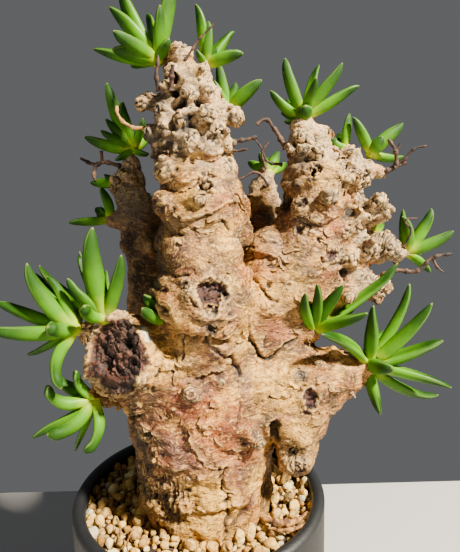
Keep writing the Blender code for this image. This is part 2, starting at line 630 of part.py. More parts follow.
def build_pot(into, helpers):
    """A straight round pot with a broad rounded lip and drain holes."""
    inner = POT_RADIUS - POT_WALL
    lip = POT_WALL / 2
    profile = [(0, POT_FLOOR), (inner - 3, POT_FLOOR), (inner, POT_FLOOR + 3)]
    for k in range(6):
        angle = math.pi * (1 - k / 5)
        profile.append((inner + lip + lip * math.cos(angle), POT_HEIGHT - lip + lip * math.sin(angle)))
    profile += [(POT_RADIUS - 0.5, 3), (POT_RADIUS - 3, 0), (0, 0)]
    mesh = bpy.data.meshes.new("pot")
    points = [(radius * MM, 0, z * MM) for radius, z in profile]
    mesh.from_pydata(points, [(k, k + 1) for k in range(len(points) - 1)], [])
    pot = bpy.data.objects.new("pot", mesh)
    into.objects.link(pot)
    turn = pot.modifiers.new("Turn", "SCREW")
    turn.steps = POT_STEPS
    turn.render_steps = POT_STEPS
    turn.use_merge_vertices = True
    turn.merge_threshold = 0.00001
    apply_modifiers(pot)
    bm = bmesh.new()
    bm.from_mesh(pot.data)
    bmesh.ops.recalc_face_normals(bm, faces=bm.faces)
    bm.to_mesh(pot.data)
    for k in range(DRAIN_HOLES):
        angle = math.tau * (k + 0.5) / DRAIN_HOLES
        across = DRAIN_CIRCLE * MM
        at = (across * math.cos(angle), across * math.sin(angle), POT_FLOOR / 2 * MM)
        bm.clear()
        bmesh.ops.create_cone(
            bm, cap_ends=True, segments=16, radius1=DRAIN_RADIUS * MM, radius2=DRAIN_RADIUS * MM,
            depth=3 * POT_FLOOR * MM, matrix=Matrix.Translation(at),
        )
        drill_mesh = bpy.data.meshes.new("drill")
        bm.to_mesh(drill_mesh)
        drill = bpy.data.objects.new("drill", drill_mesh)
        helpers.objects.link(drill)
        boolean(pot, "DIFFERENCE", other=drill, solver="EXACT")
        drop([drill])
    bm.free()
    shade_smooth(pot)
    return pot


def circle(radius, steps):
    """Points round a circle in the plane."""
    turns = [math.tau * k / steps for k in range(steps)]
    return [(radius * math.cos(turn), radius * math.sin(turn)) for turn in turns]


def stone_height(x, y, stones):
    """How far the stones stand above the gravel level at (x, y)."""
    best = 0.0
    for sx, sy, radius, squash, turn, rise in stones:
        dx, dy = x - sx, y - sy
        if abs(dx) > 6 or abs(dy) > 6:
            continue
        u = (dx * math.cos(turn) + dy * math.sin(turn)) / radius
        v = (dy * math.cos(turn) - dx * math.sin(turn)) / (radius * squash)
        reach = (abs(u) ** 2.6 + abs(v) ** 2.6) ** (1 / 2.6)
        if reach < 1:
            best = max(best, rise * (1 - reach**3))
    return best


def build_substrate(caudex, into, helpers):
    """Gravel as one solid with a pebbled top and a plain hole for the caudex."""
    chance = random.Random(5)
    reach = POT_RADIUS - POT_WALL - 0.3
    stones = []
    steps = int(reach / STONE_PITCH) + 2
    for row in range(-steps, steps + 1):
        for column in range(-steps, steps + 1):
            x = (column + 0.5 * (row % 2)) * STONE_PITCH + chance.uniform(-1.5, 1.5)
            y = row * STONE_PITCH * 0.866 + chance.uniform(-1.5, 1.5)
            radius = chance.uniform(3.6, 4.9)
            squash = chance.uniform(0.7, 1)
            turn = chance.uniform(0, math.pi)
            stones.append((x, y, radius, squash, turn, STONE_RISE * chance.uniform(0.45, 1)))
    rim = circle(reach, POT_STEPS)
    flat = list(rim)
    rows = int(reach / GRAVEL_PITCH) + 2
    for row in range(-rows, rows + 1):
        for column in range(-rows, rows + 1):
            x = (column + 0.5 * (row % 2)) * GRAVEL_PITCH
            y = row * GRAVEL_PITCH * 0.866
            r = math.hypot(x, y)
            if 22 < r < reach - 1.4:
                flat.append((x, y))
    flat += circle(20, 16)
    flat.append((0, 0))
    _, _, triangles, _, _, _ = geometry.delaunay_2d_cdt([Vector(p) for p in flat], [], [], 0, 1e-5)
    points = []
    for index, (x, y) in enumerate(flat):
        high = 0.6 if index < POT_STEPS else stone_height(x, y, stones)
        points.append((x, y, GRAVEL_LEVEL + high))
    faces = [tuple(t) for t in triangles]
    low = len(points)
    points += [(x, y, POT_FLOOR + 3.5) for x, y in rim]
    points += [(x, y, POT_FLOOR + 0.3) for x, y in circle(reach - 3, POT_STEPS)]
    for k in range(POT_STEPS):
        j = (k + 1) % POT_STEPS
        faces.append((k, j, low + j, low + k))
        faces.append((low + k, low + j, low + POT_STEPS + j, low + POT_STEPS + k))
    faces.append(tuple(reversed([low + POT_STEPS + k for k in range(POT_STEPS)])))
    substrate = mesh_object("substrate", points, faces, into)
    bm = bmesh.new()
    bm.from_mesh(substrate.data)
    bmesh.ops.recalc_face_normals(bm, faces=bm.faces)
    bm.to_mesh(substrate.data)
    bm.free()

    tree = BVHTree.FromPolygons([v.co.copy() for v in caudex.data.vertices],
                                [tuple(p.vertices) for p in caudex.data.polygons])
    outline = []
    spokes = 36
    for k in range(spokes):
        widest = 0.0
        for shift in (-0.5, -0.25, 0, 0.25, 0.5):
            angle = math.tau * (k + shift) / spokes
            way = Vector((math.cos(angle), math.sin(angle), 0))
            for z in np.arange(FOOT_Z + 0.5, GRAVEL_LEVEL + 5, 1.5):
                hit = tree.ray_cast(way * 0.06 + Vector((0, 0, z * MM)), -way)[0]
                if hit is not None:
                    widest = max(widest, math.hypot(hit.x, hit.y) / MM)
        outline.append(widest + SOIL_GAP)
    ring = [(r * x, r * y) for r, (x, y) in zip(outline, circle(1, spokes))]
    walls = [(x, y, FOOT_Z - 0.3) for x, y in ring] + [(x, y, GRAVEL_LEVEL + 12) for x, y in ring]
    sides = [(k, (k + 1) % spokes, spokes + (k + 1) % spokes, spokes + k) for k in range(spokes)]
    caps = [tuple(reversed(range(spokes))), tuple(range(spokes, 2 * spokes))]
    drill = mesh_object("foot_hole", walls, sides + caps, helpers)
    boolean(substrate, "DIFFERENCE", other=drill)
    drop([drill])
    keep_largest(substrate)
    shade_smooth(substrate)
    return substrate


def main():
    """Build every piece in one frame."""
    clear_scene()
    parts = collection("potted_caudex_plant")
    cutters = collection("cutters")
    cutters.hide_render = True

    caudex = build_caudex(parts, cutters)
    seat = swollen(caudex, SEAT, "seat", cutters)
    build_substrate(caudex, parts, cutters)
    build_pot(parts, cutters)
    for name, (base, leaves) in ROSETTES.items():
        build_rosette("rosette_" + name, base, leaves, seat, parts, cutters)
    for name, branches in TWIGS.items():
        build_twig(name, branches, seat, parts, cutters)
    drop([seat])

    for obj in parts.objects:
        if obj.name in COLOURS:
            colour, roughness = COLOURS[obj.name]
        elif obj.name.startswith("twig"):
            colour, roughness = TWIG_BROWN, 0.85
        else:
            colour, roughness = LEAF_GREEN, 0.4
        obj.data.materials.clear()
        obj.data.materials.append(material(obj.name + "_finish", colour, roughness))
        obj.data.name = obj.name


main()
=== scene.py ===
# %% [markdown]
# # A potted caudex plant, piece by piece
# This lesson dresses a ready-made solid model of a small succulent: a swollen trunk (its
# caudex) with knobbly arms, rosettes of finger-shaped leaves, dry twigs, gravel and a pot.
# The solid model fixes every size. What is made here is the skin that the eye sees.

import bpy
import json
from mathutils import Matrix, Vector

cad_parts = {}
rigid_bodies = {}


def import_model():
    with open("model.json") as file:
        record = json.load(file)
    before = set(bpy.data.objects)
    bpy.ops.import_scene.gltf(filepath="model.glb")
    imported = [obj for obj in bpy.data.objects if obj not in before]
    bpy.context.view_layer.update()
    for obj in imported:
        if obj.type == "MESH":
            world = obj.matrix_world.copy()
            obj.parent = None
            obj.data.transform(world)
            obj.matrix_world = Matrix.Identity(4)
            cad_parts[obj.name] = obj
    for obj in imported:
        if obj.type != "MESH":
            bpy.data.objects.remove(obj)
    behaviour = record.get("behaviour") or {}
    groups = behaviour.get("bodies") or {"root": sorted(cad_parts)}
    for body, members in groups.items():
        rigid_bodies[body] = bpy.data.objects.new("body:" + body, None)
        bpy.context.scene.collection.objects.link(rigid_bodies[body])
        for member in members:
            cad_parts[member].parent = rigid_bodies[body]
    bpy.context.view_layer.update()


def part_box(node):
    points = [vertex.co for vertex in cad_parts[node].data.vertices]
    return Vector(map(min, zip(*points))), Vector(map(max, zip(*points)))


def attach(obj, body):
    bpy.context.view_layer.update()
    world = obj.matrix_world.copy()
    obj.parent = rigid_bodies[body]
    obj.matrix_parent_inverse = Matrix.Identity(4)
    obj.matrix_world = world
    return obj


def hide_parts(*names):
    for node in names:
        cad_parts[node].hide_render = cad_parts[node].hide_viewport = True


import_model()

# %% Tools and units used throughout
import json
import math
import random
from contextlib import contextmanager
from types import SimpleNamespace

import bmesh
import bpy
import numpy as np
from mathutils import Matrix, Vector, noise
from mathutils.bvhtree import BVHTree

MM = 0.001
scene_collection = bpy.context.scene.collection
print("one millimetre is", MM, "m")

# %% [markdown]
# ## Camera and light
# The plant stands near the camera and fills the frame, so the lens position matters more
# than its length: it looks slightly down on the pot from in front, with a small roll.
# One strong lamp, high in front on the right, gives each knob its short shadow to the lower
# left, and a pale surround keeps the shaded side readable.

# %% Camera at the viewing angle
LENS_PIXELS = 480.0
FRAME_PIXELS = (460, 552)
EYE_MM = (17.4, -215.0, 239.0)
LOOK_DOWN = math.radians(9.5)
ROLL = math.radians(-1.5)

lens = bpy.data.cameras.new("camera")
lens.sensor_width = 36.0
lens.lens = LENS_PIXELS / max(FRAME_PIXELS) * lens.sensor_width
lens.clip_start = 0.01
camera = bpy.data.objects.new("camera", lens)
scene_collection.objects.link(camera)
turned = Matrix.Rotation(math.radians(90) - LOOK_DOWN, 4, "X") @ Matrix.Rotation(ROLL, 4, "Z")
camera.matrix_world = Matrix.Translation(Vector(EYE_MM) * MM) @ turned
bpy.context.scene.camera = camera
print("lens", round(lens.lens, 2), "mm")

# %% Two lamps: place and aim in metres, disc size, power, colour
LAMPS = {
    "key": ((0.865, -0.645, 1.275), (0.01, 0, 0.2), 0.16, 186, (1.0, 0.92, 0.76)),
    "fill": ((-1.1, -1.1, 0.6), (0, 0, 0.18), 1.2, 4.5, (0.78, 0.88, 1.0)),
}
for name, (place, aim, size, power, colour) in LAMPS.items():
    light = bpy.data.lights.new(name, "AREA")
    light.shape = "DISK"
    light.size = size
    light.energy = power
    light.color = colour
    lamp = bpy.data.objects.new(name, light)
    scene_collection.objects.link(lamp)
    lamp.location = place
    lamp.rotation_euler = (Vector(place) - Vector(aim)).to_track_quat("Z", "Y").to_euler()
print("lamps:", list(LAMPS))

# %% Surround and a pale floor
SURROUND_COLOUR = (0.62, 0.63, 0.65, 1)
SURROUND_STRENGTH = 0.2
FLOOR_CORNERS = [(-1.6, -1.6, 0), (1.6, -1.6, 0), (1.6, 0.15, 0), (-1.6, 0.15, 0)]
FLOOR_COLOUR = (0.36, 0.35, 0.34, 1)

surround = bpy.data.worlds.new("surround")
bpy.context.scene.world = surround
surround.use_nodes = True
backdrop = surround.node_tree.nodes["Background"]
backdrop.inputs["Color"].default_value = SURROUND_COLOUR
backdrop.inputs["Strength"].default_value = SURROUND_STRENGTH
floor_mesh = bpy.data.meshes.new("floor")
floor_mesh.from_pydata(FLOOR_CORNERS, [], [(0, 1, 2, 3)])
floor = bpy.data.objects.new("floor", floor_mesh)
scene_collection.objects.link(floor)
floor_paint = bpy.data.materials.new("floor_paint")
floor_paint.use_nodes = True
floor_shader = floor_paint.node_tree.nodes["Principled BSDF"]
floor_shader.inputs["Base Color"].default_value = FLOOR_COLOUR
floor_shader.inputs["Roughness"].default_value = 0.8
floor.data.materials.append(floor_paint)
print("floor", FLOOR_CORNERS[2], "m to its right back corner")


# %% [markdown]
# ## Small helpers for materials
# Several finishes here share the same effects: blotches of colour, and fine grit. Each
# effect is a node group with named inputs, built once and then set to its own values in
# every material, the way a painter mixes one glaze and thins it as needed. Every finish is
# then a stack of coats: a mask says where a coat shows, a strength says how much.


# %% Make a node group, and add nodes with their values in one line
def node_group(name, inputs, outputs):
    """A shader group with number sockets; gives the tree and its two end nodes."""
    tree = bpy.data.node_groups.new(name, "ShaderNodeTree")
    for label, value in inputs.items():
        tree.interface.new_socket(label, in_out="INPUT", socket_type="NodeSocketFloat").default_value = value
    for label in outputs:
        tree.interface.new_socket(label, in_out="OUTPUT", socket_type="NodeSocketFloat")
    return tree, tree.nodes.new("NodeGroupInput"), tree.nodes.new("NodeGroupOutput")


def add(tree, kind, links=None, **settings):
    """Add a node, set its properties, and set or link its inputs by name or number."""
    node = tree.nodes.new(kind)
    for key, value in settings.items():
        setattr(node, key, value)
    for key, value in (links or {}).items():
        if isinstance(value, bpy.types.NodeSocket):
            tree.links.new(value, node.inputs[key])
        else:
            node.inputs[key].default_value = value
    return node


def math_of(tree, operation, first, second=0.0):
    """A maths node; gives its result socket."""
    return add(tree, "ShaderNodeMath", {0: first, 1: second}, operation=operation).outputs[0]


def vector_of(tree, operation, first, second):
    """A vector maths node; gives its result socket. To scale, the second is a number."""
    other = "Scale" if operation == "SCALE" else 1
    return add(tree, "ShaderNodeVectorMath", {0: first, other: second}, operation=operation).outputs[0]


def band(tree, value, low, high):
    """Turn a value into a smooth 0 to 1 mask between two levels."""
    limits = {0: value, 1: low, 2: high}
    return add(tree, "ShaderNodeMapRange", limits, interpolation_type="SMOOTHSTEP").outputs[0]


def rgb(red, green, blue):
    """A display colour from 0 to 255 as a paint, deepened and, where light, made stronger against glare."""
    linear = [((c / 255 + 0.055) / 1.055) ** 2.4 for c in (red, green, blue)]
    grey = 0.2126 * linear[0] + 0.7152 * linear[1] + 0.0722 * linear[2]
    return (*[(c / grey) ** (1.15 + 1.0 * grey) * grey ** 1.78 for c in linear], 1.0)


def lay_coats(tree, colour, coats):
    """Lay coats over a colour: each a mask, a strength, a paint and, if any, the mask's band.

    A paint is a display colour from 0 to 255, or the output of other nodes.
    """
    for mask, strength, paint, *levels in coats:
        if levels:
            mask = band(tree, mask, *levels)
        if not isinstance(paint, bpy.types.NodeSocket):
            paint = rgb(*paint)
        shown = math_of(tree, "MULTIPLY", mask, strength)
        colour = add(tree, "ShaderNodeMix", {0: shown, 6: colour, 7: paint}, data_type="RGBA").outputs[2]
    return colour


print("helpers ready, mid grey is", [round(c, 3) for c in rgb(128, 128, 128)])


# %% Two shared effects: blotches and grit
def make_blotches():
    """Soft patches of two scales on object coordinates, put out as two masks."""
    tree, start, end = node_group("blotches", {"Size": 0.01, "Fine Size": 0.002, "Shift": 0.0},
                                  ("Broad", "Fine"))
    place = add(tree, "ShaderNodeTexCoord").outputs["Object"]
    for label, size, detail in (("Broad", "Size", 4.0), ("Fine", "Fine Size", 5.0)):
        scale = math_of(tree, "DIVIDE", 1.0, start.outputs[size])
        values = {"Vector": place, "W": start.outputs["Shift"], "Scale": scale, "Detail": detail,
                  "Roughness": 0.6}
        cloud = add(tree, "ShaderNodeTexNoise", values, noise_dimensions="4D")
        tree.links.new(cloud.outputs["Fac"], end.inputs[label])
    return tree


def make_grit():
    """Grainy height: fine noise with pits, for a Bump node."""
    tree, start, end = node_group("grit", {"Size": 0.001, "Pits": 0.5}, ("Height",))
    place = add(tree, "ShaderNodeTexCoord").outputs["Object"]
    scale = math_of(tree, "DIVIDE", 1.0, start.outputs["Size"])
    values = {"Vector": place, "Scale": scale, "Detail": 6.0, "Roughness": 0.65}
    grains = add(tree, "ShaderNodeTexNoise", values)
    cells = add(tree, "ShaderNodeTexVoronoi", {"Vector": place, "Scale": scale}, feature="F1")
    pitted = math_of(tree, "MULTIPLY", cells.outputs["Distance"], start.outputs["Pits"])
    tree.links.new(math_of(tree, "ADD", grains.outputs["Fac"], pitted), end.inputs["Height"])
    return tree


BLOTCHES = make_blotches()
GRIT = make_grit()
print("shared effects:", BLOTCHES.name, GRIT.name)


# %% Put the shared effects into a finish
def use_group(tree, group, **values):
    """Place a shared group in a material with its own values."""
    node = tree.nodes.new("ShaderNodeGroup")
    node.node_tree = group
    for key, value in values.items():
        node.inputs[key.replace("_", " ")].default_value = value
    return node


def new_finish(name, roughness, specular=0.5):
    """A material; gives it with its node tree and shader."""
    made = bpy.data.materials.new(name)
    made.use_nodes = True
    shader = made.node_tree.nodes["Principled BSDF"]
    shader.inputs["Roughness"].default_value = roughness
    shader.inputs["Specular IOR Level"].default_value = specular
    return made, made.node_tree, shader


def read_mask(tree, name):
    """A value stored on the points of a mesh."""
    return add(tree, "ShaderNodeAttribute", attribute_name=name).outputs["Fac"]


def close_finish(tree, shader, colour, size, pits, distance, strength):
    """Join the mixed colour to the shader and roughen the skin with the shared grit."""
    tree.links.new(colour, shader.inputs["Base Color"])
    grit = use_group(tree, GRIT, Size=size, Pits=pits)
    bump = add(tree, "ShaderNodeBump", {"Height": grit.outputs["Height"], "Distance": distance,
                                        "Strength": strength})
    tree.links.new(bump.outputs["Normal"], shader.inputs["Normal"])


print("finishes start as a Principled shader in a", type(floor_paint).__name__)


# %% [markdown]
# ## The caudex: one skin grown from the solid
# A caudex is a trunk that stores water. Its bark is thin and papery: it splits into plates
# whose edges lift, over a smooth skin of a redder colour, and every lost leaf or twig leaves a
# ringed knob or a pit. Sculpting that by hand is one way. Here the plain solid is copied,
# its skin is remeshed finely, and the relief is worked out for every point by formula, so the
# form stays where the solid put it. The same formulas leave a value on each point (crack,
# plate, ring, hollow), and the bark's colours are mixed from those values later.


# %% Make, open and replace meshes
def new_piece(name, mesh):
    """An object in the scene that holds a mesh."""
    made = bpy.data.objects.new(name, mesh)
    scene_collection.objects.link(made)
    return made


@contextmanager
def editing(mesh):
    """Open a mesh for editing and write it back afterwards."""
    bm = bmesh.new()
    bm.from_mesh(mesh)
    yield bm
    bm.to_mesh(mesh)
    bm.free()


def evaluated_mesh(obj):
    """A plain mesh of what the object's modifiers make of it."""
    graph = bpy.context.evaluated_depsgraph_get()
    graph.update()
    return bpy.data.meshes.new_from_object(obj.evaluated_get(graph))


def bake_modifiers(obj):
    """Replace the object's mesh with what its modifiers make of it."""
    made = evaluated_mesh(obj)
    old = obj.data
    obj.modifiers.clear()
    obj.data = made
    bpy.data.meshes.remove(old)
    made.name = obj.name


def solid_copy(node, name):
    """A new object with the welded mesh of one node of the solid model."""
    mesh = bpy.data.objects[node].data.copy()
    mesh.name = name
    mesh.materials.clear()
    with editing(mesh) as bm:
        bmesh.ops.remove_doubles(bm, verts=bm.verts, dist=1e-6)
    return new_piece(name, mesh)


SKIN_VOXEL = 0.66
bark_skin = solid_copy("caudex", "bark_skin")
fine = bark_skin.modifiers.new("Fine skin", "REMESH")
fine.mode = "VOXEL"
fine.voxel_size = SKIN_VOXEL * MM
soften = bark_skin.modifiers.new("Lose the facets", "SMOOTH")
soften.factor = 0.5
soften.iterations = 6
bake_modifiers(bark_skin)
print("bark skin:", len(bark_skin.data.vertices), "points")


# %% Read and write values on a mesh's points
def points_of(mesh):
    """Point positions in millimetres and their normals."""
    places = np.empty(len(mesh.vertices) * 3)
    normals = np.empty(len(mesh.vertices) * 3)
    mesh.vertices.foreach_get("co", places)
    mesh.vertex_normals.foreach_get("vector", normals)
    return places.reshape(-1, 3) / MM, normals.reshape(-1, 3)


def set_points(mesh, places):
    """Put millimetre positions back on the mesh."""
    mesh.vertices.foreach_set("co", (places * MM).ravel())
    mesh.update()


def store(mesh, name, values):
    """Keep one value for each point, for a material to read."""
    layer = mesh.attributes.new(name, "FLOAT", "POINT")
    layer.data.foreach_set("value", np.asarray(values, np.float32))


def read(mesh, name):
    """Values stored on the points of a mesh."""
    values = np.empty(len(mesh.vertices), np.float32)
    mesh.attributes[name].data.foreach_get("value", values)
    return values.astype(float)


def smooth_shading(mesh):
    """Round shading on every face."""
    mesh.polygons.foreach_set("use_smooth", [True] * len(mesh.polygons))


places, _ = points_of(bark_skin.data)
print("the skin reaches from", round(places[:, 2].min(), 1), "to", round(places[:, 2].max(), 1), "mm up")


# %% [markdown]
# ## Fields that the bark follows
# Real bark is not random everywhere: it has a dry outer skin that peels in terraces, splits
# between plates, warts near the growing tips and fine wrinkles round the limbs. Each of these
# is a field: a number that changes over the surface. Noise and Voronoi nodes could be read
# only in the material, but then the outline would stay smooth. Read in Geometry Nodes and
# stored on the points, the same fields first shape the skin and then colour it.


# %% Node trees with named inputs
def named_tree(name, inputs, things=None):
    """A Geometry Nodes tree with a mesh in and out, named number inputs and other named inputs."""
    tree = bpy.data.node_groups.new(name, "GeometryNodeTree")
    tree.interface.new_socket("Mesh", in_out="INPUT", socket_type="NodeSocketGeometry")
    for label, value in inputs.items():
        kind = "NodeSocketInt" if isinstance(value, int) else "NodeSocketFloat"
        tree.interface.new_socket(label, in_out="INPUT", socket_type=kind).default_value = value
    for label, kind in (things or {}).items():
        tree.interface.new_socket(label, in_out="INPUT", socket_type=kind)
    tree.interface.new_socket("Mesh", in_out="OUTPUT", socket_type="NodeSocketGeometry")
    return tree, tree.nodes.new("NodeGroupInput"), tree.nodes.new("NodeGroupOutput")


def use_tree(obj, tree, **values):
    """Put a tree on an object with its own input values, set by each socket's identifier."""
    step = obj.modifiers.new(tree.name, "NODES")
    step.node_group = tree
    for item in tree.interface.items_tree:
        if item.in_out == "INPUT" and item.name in values:
            step[item.identifier] = values[item.name]


def close_tree(tree, start, end, geometry):
    """Turn instances into real faces, give them the finish and put them out."""
    real = add(tree, "GeometryNodeRealizeInstances", {0: geometry})
    finish = {"Geometry": real.outputs[0], "Material": start.outputs["Finish"]}
    done = add(tree, "GeometryNodeSetMaterial", finish)
    tree.links.new(done.outputs[0], end.inputs[0])


print("trees start from a mesh and named numbers")

# %% The bark's field sizes in millimetres, and its fields
FIELD_SIZES = {
    "Bend Size": 15.0, "Bend": 7.0, "Peel Size": 22.0, "Plate Size": 15.0, "Wart Size": 7.0,
    "Pit Size": 9.0, "Swell Size": 15.0, "Lump Size": 6.0, "Grain Size": 1.5, "Crust Size": 2.5,
}
EDGE = {"feature": "DISTANCE_TO_EDGE"}


def bark_fields():
    """Store the bark's fields on the points, all worked out on bent coordinates in millimetres."""
    tree, start, end = named_tree("bark_fields", FIELD_SIZES)
    place = vector_of(tree, "SCALE", add(tree, "GeometryNodeInputPosition").outputs[0], 1 / MM)

    def cloud(vector, size, detail, roughness=0.5, output="Fac"):
        scale = math_of(tree, "DIVIDE", 1.0, start.outputs[size])
        values = {"Vector": vector, "Scale": scale, "Detail": detail, "Roughness": roughness}
        return add(tree, "ShaderNodeTexNoise", values).outputs[output]

    def cells(vector, size, output, **kind):
        scale = math_of(tree, "DIVIDE", 1.0, start.outputs[size])
        return add(tree, "ShaderNodeTexVoronoi", {"Vector": vector, "Scale": scale}, **kind).outputs[output]

    def one_per_cell(vector, size):
        return add(tree, "FunctionNodeSeparateColor", {0: cells(vector, size, "Color")}).outputs[0]

    swirl = vector_of(tree, "SUBTRACT", cloud(place, "Bend Size", 3.0, output="Color"), (0.5, 0.5, 0.5))
    bent = vector_of(tree, "ADD", place, vector_of(tree, "SCALE", swirl, start.outputs["Bend"]))
    below = vector_of(tree, "ADD", bent, (0, 0, -1.6))
    squashed = vector_of(tree, "MULTIPLY", bent, (0.2, 0.2, 1.3))
    rolled = vector_of(tree, "MULTIPLY", bent, (0.6, 0.6, 1.2))
    upright = vector_of(tree, "MULTIPLY", bent, (1, 1, 0.25))
    crumple = vector_of(tree, "SCALE", cloud(place, "Crust Size", 1.0, output="Color"), 1.6)
    crumpled = vector_of(tree, "ADD", place, crumple)
    thin = add(tree, "ShaderNodeTexNoise", {"Vector": squashed, "Scale": 1.0, "Detail": 3.0})
    fields = {
        "peel": cloud(bent, "Peel Size", 3.0),
        "peel_below": cloud(below, "Peel Size", 3.0),
        "crack": cells(bent, "Plate Size", "Distance", **EDGE),
        "plate": one_per_cell(bent, "Plate Size"),
        "pit": cells(place, "Pit Size", "Distance"),
        "pit_pick": one_per_cell(place, "Pit Size"),
        "wart": cells(place, "Wart Size", "Distance"),
        "crust": cells(crumpled, "Crust Size", "Distance", **EDGE),
        "wrinkle": thin.outputs["Fac"],
        "swell": cloud(rolled, "Swell Size", 2.0),
        "lump": cloud(bent, "Lump Size", 3.0),
        "grain": cloud(place, "Grain Size", 4.0, 0.6),
        "patch": cloud(bent, "Bend Size", 2.0),
        "fibre": cloud(upright, "Crust Size", 4.0),
    }
    geometry = start.outputs["Mesh"]
    for label, field in fields.items():
        values = {"Geometry": geometry, "Name": label, "Value": field}
        keep = add(tree, "GeometryNodeStoreNamedAttribute", values, data_type="FLOAT", domain="POINT")
        geometry = keep.outputs[0]
    tree.links.new(geometry, end.inputs[0])
    return tree


use_tree(bark_skin, bark_fields())
bake_modifiers(bark_skin)
print("fields on the bark:", [(a.name, round(float(read(bark_skin.data, a.name).mean()), 2))
                              for a in bark_skin.data.attributes if a.data_type == "FLOAT"])


# %% [markdown]
# ## Scars, wounds and where they sit
# A plant this old carries marks that are its portrait: a sawn stub with dark wood, a round
# healed wound, craters where twigs broke off, buttons with rings like a cut onion. They are
# placed one by one, each as a centre on the bark with its radius, how deep it goes and how
# far its edge rises. Everything else is left to the fields.

# %% The marks: centre in millimetres, radius, depth, raised edge
STUB_MIDDLE = (-29.0, -34.1, 178.2)
STUB_FACING = (-0.46, -0.86, 0.2)
STUB_RADIUS = 12.4
WOUNDS = [
    (10.3, -35.8, 202.4, 4.9, 1.4, 0.6), (50, -24, 155, 2.8, 0.8, 0.6), (50, -24, 151.3, 2.2, 0.9, 0.3),
    (48.6, -23.5, 148, 1.6, 0.7, 0.2), (63, -10.7, 212, 3, 1, 0.5),
]
CRATERS = [
    (9.3, -26.5, 243.6, 3.3, 2.4, 0.5), (8.7, -25.5, 248.3, 1.3, 1, 0.3), (12, -23.5, 248.7, 1.3, 1, 0.3),
    (10.7, -29, 222.1, 1.2, 1.2, 0.2), (53.9, -5, 247.7, 3.3, 2.6, 0.5), (48.1, -8, 222.3, 1.9, 1.2, 0.4),
    (48.7, -6.7, 236, 2.4, 1.6, 0.3), (55.5, -9.9, 219.3, 1.3, 1, 0.3),
    (15.7, -34.2, 200.8, 1.5, 1.4, 0.2), (11.8, -37, 196, 1.7, 1, 0.2), (10.3, -36.6, 188.7, 2, 1.6, 0.3),
    (-17.5, -29.2, 141.9, 2, 1.2, 0.3), (-0.4, -33.5, 206.2, 1.4, 1, 0.3),
    (33.5, -14.5, 201.1, 1.3, 1, 0.2), (7.7, -28.6, 235.3, 1, 0.9, 0.1), (-16, -11, 277.4, 1.9, 1.4, 0.5),
    (40.6, -23, 132.8, 1.4, 1.1, 0.3), (43.8, -22, 129, 1.1, 1, 0.3), (45, -25, 122, 2.6, 0.6, 0.6),
    (19.5, -14, 255, 1.8, 1.2, 0.3),
]
# Ringed buttons: centre and radius
RINGED = [
    (7.1, -29.4, 238, 2.9), (1.2, -35.5, 162, 4.2), (28.2, -32.2, 138, 3.7), (59.4, -9.4, 237, 2.9),
    (46, -22, 163, 2.9), (54.1, -20.7, 168.6, 1.9), (1.2, -34.6, 204.6, 2.5), (42.8, -14.4, 200.9, 2.2),
    (13, -32, 164, 1.8), (-9.9, -15.1, 274.2, 3.2), (-13.7, -12.6, 263.4, 3.6), (22.5, -7.7, 273.1, 3.3),
    (44.1, 0.2, 258.4, 2.6), (48.9, -2.9, 257.1, 3), (47.6, 0.3, 265, 2.6), (57.1, -0.3, 261.8, 2.6),
    (63.7, 2.2, 256.8, 2.6), (69.7, 3, 253.3, 3), (77.5, 1.2, 236, 3.4), (87.3, -0.3, 233.1, 3.6),
    (87.7, 5.2, 217.5, 4), (85.2, 0, 198, 4), (87.3, 3.5, 248.1, 3.6), (68.1, -8.6, 193.3, 2.6),
    (91, 4, 213, 4.8), (90, 4, 196, 4.6),
]
print(len(WOUNDS), "wounds,", len(CRATERS), "craters and", len(RINGED), "ringed buttons")


# %% Distances and soft steps
def stub_axes():
    """The sawn face's outward, rightward and upward directions."""
    facing = Vector(STUB_FACING).normalized()
    right = facing.cross(Vector((0, 0, 1))).normalized() * -1
    return facing, right, right.cross(facing).normalized() * -1


def stub_frame(places):
    """Height above the sawn face and how far out a point is, where the oval rim is at STUB_RADIUS."""
    facing, right, up = (np.array(way) for way in stub_axes())
    from_middle = places - STUB_MIDDLE
    x, y = from_middle @ right / 0.94, from_middle @ up / 1.16
    return from_middle @ facing, np.hypot(x, y)


def nearness(places, mark):
    """Distance of each point from a mark's centre, in the mark's own radii."""
    return np.linalg.norm(places - mark[:3], axis=1) / mark[3]


def region(places, spots):
    """Soft influence of (x, y, z, reach) spots at every point, zero to one."""
    value = np.zeros(len(places))
    for spot in spots:
        value = np.maximum(value, np.exp(-(nearness(places, spot) ** 2)))
    return value


def bell(values, middle, width):
    """A soft bump of height one round a middle value."""
    return np.exp(-(((values - middle) / width) ** 2))


def ramp(values, low, high):
    """A smooth step from zero at low to one at high."""
    t = np.clip((values - low) / (high - low), 0, 1)
    return t * t * (3 - 2 * t)


print("the sawn face looks along", [round(v, 2) for v in stub_axes()[0]])


# %% [markdown]
# ## Putting the relief together
# The relief is one height for every point, and each kind of form adds to it in a step of its
# own. A step also leaves a mask, which the finish reads later. It could all be one long
# formula, but in steps each form can be looked at, weakened or left out by itself.

# %% Start with the broad swelling, and with empty masks
SWELL, LUMP, GRAIN = 6.0, 0.8, 0.3
FIELD_NAMES = ("peel", "peel_below", "crack", "pit", "pit_pick", "wart", "wrinkle", "swell", "lump", "grain",
               "patch", "crust", "fibre")
MASK_NAMES = ("lip", "under", "split", "warty", "crusty", "gap", "pitted", "root",
              "wound", "collar", "crater", "ringed", "ring")


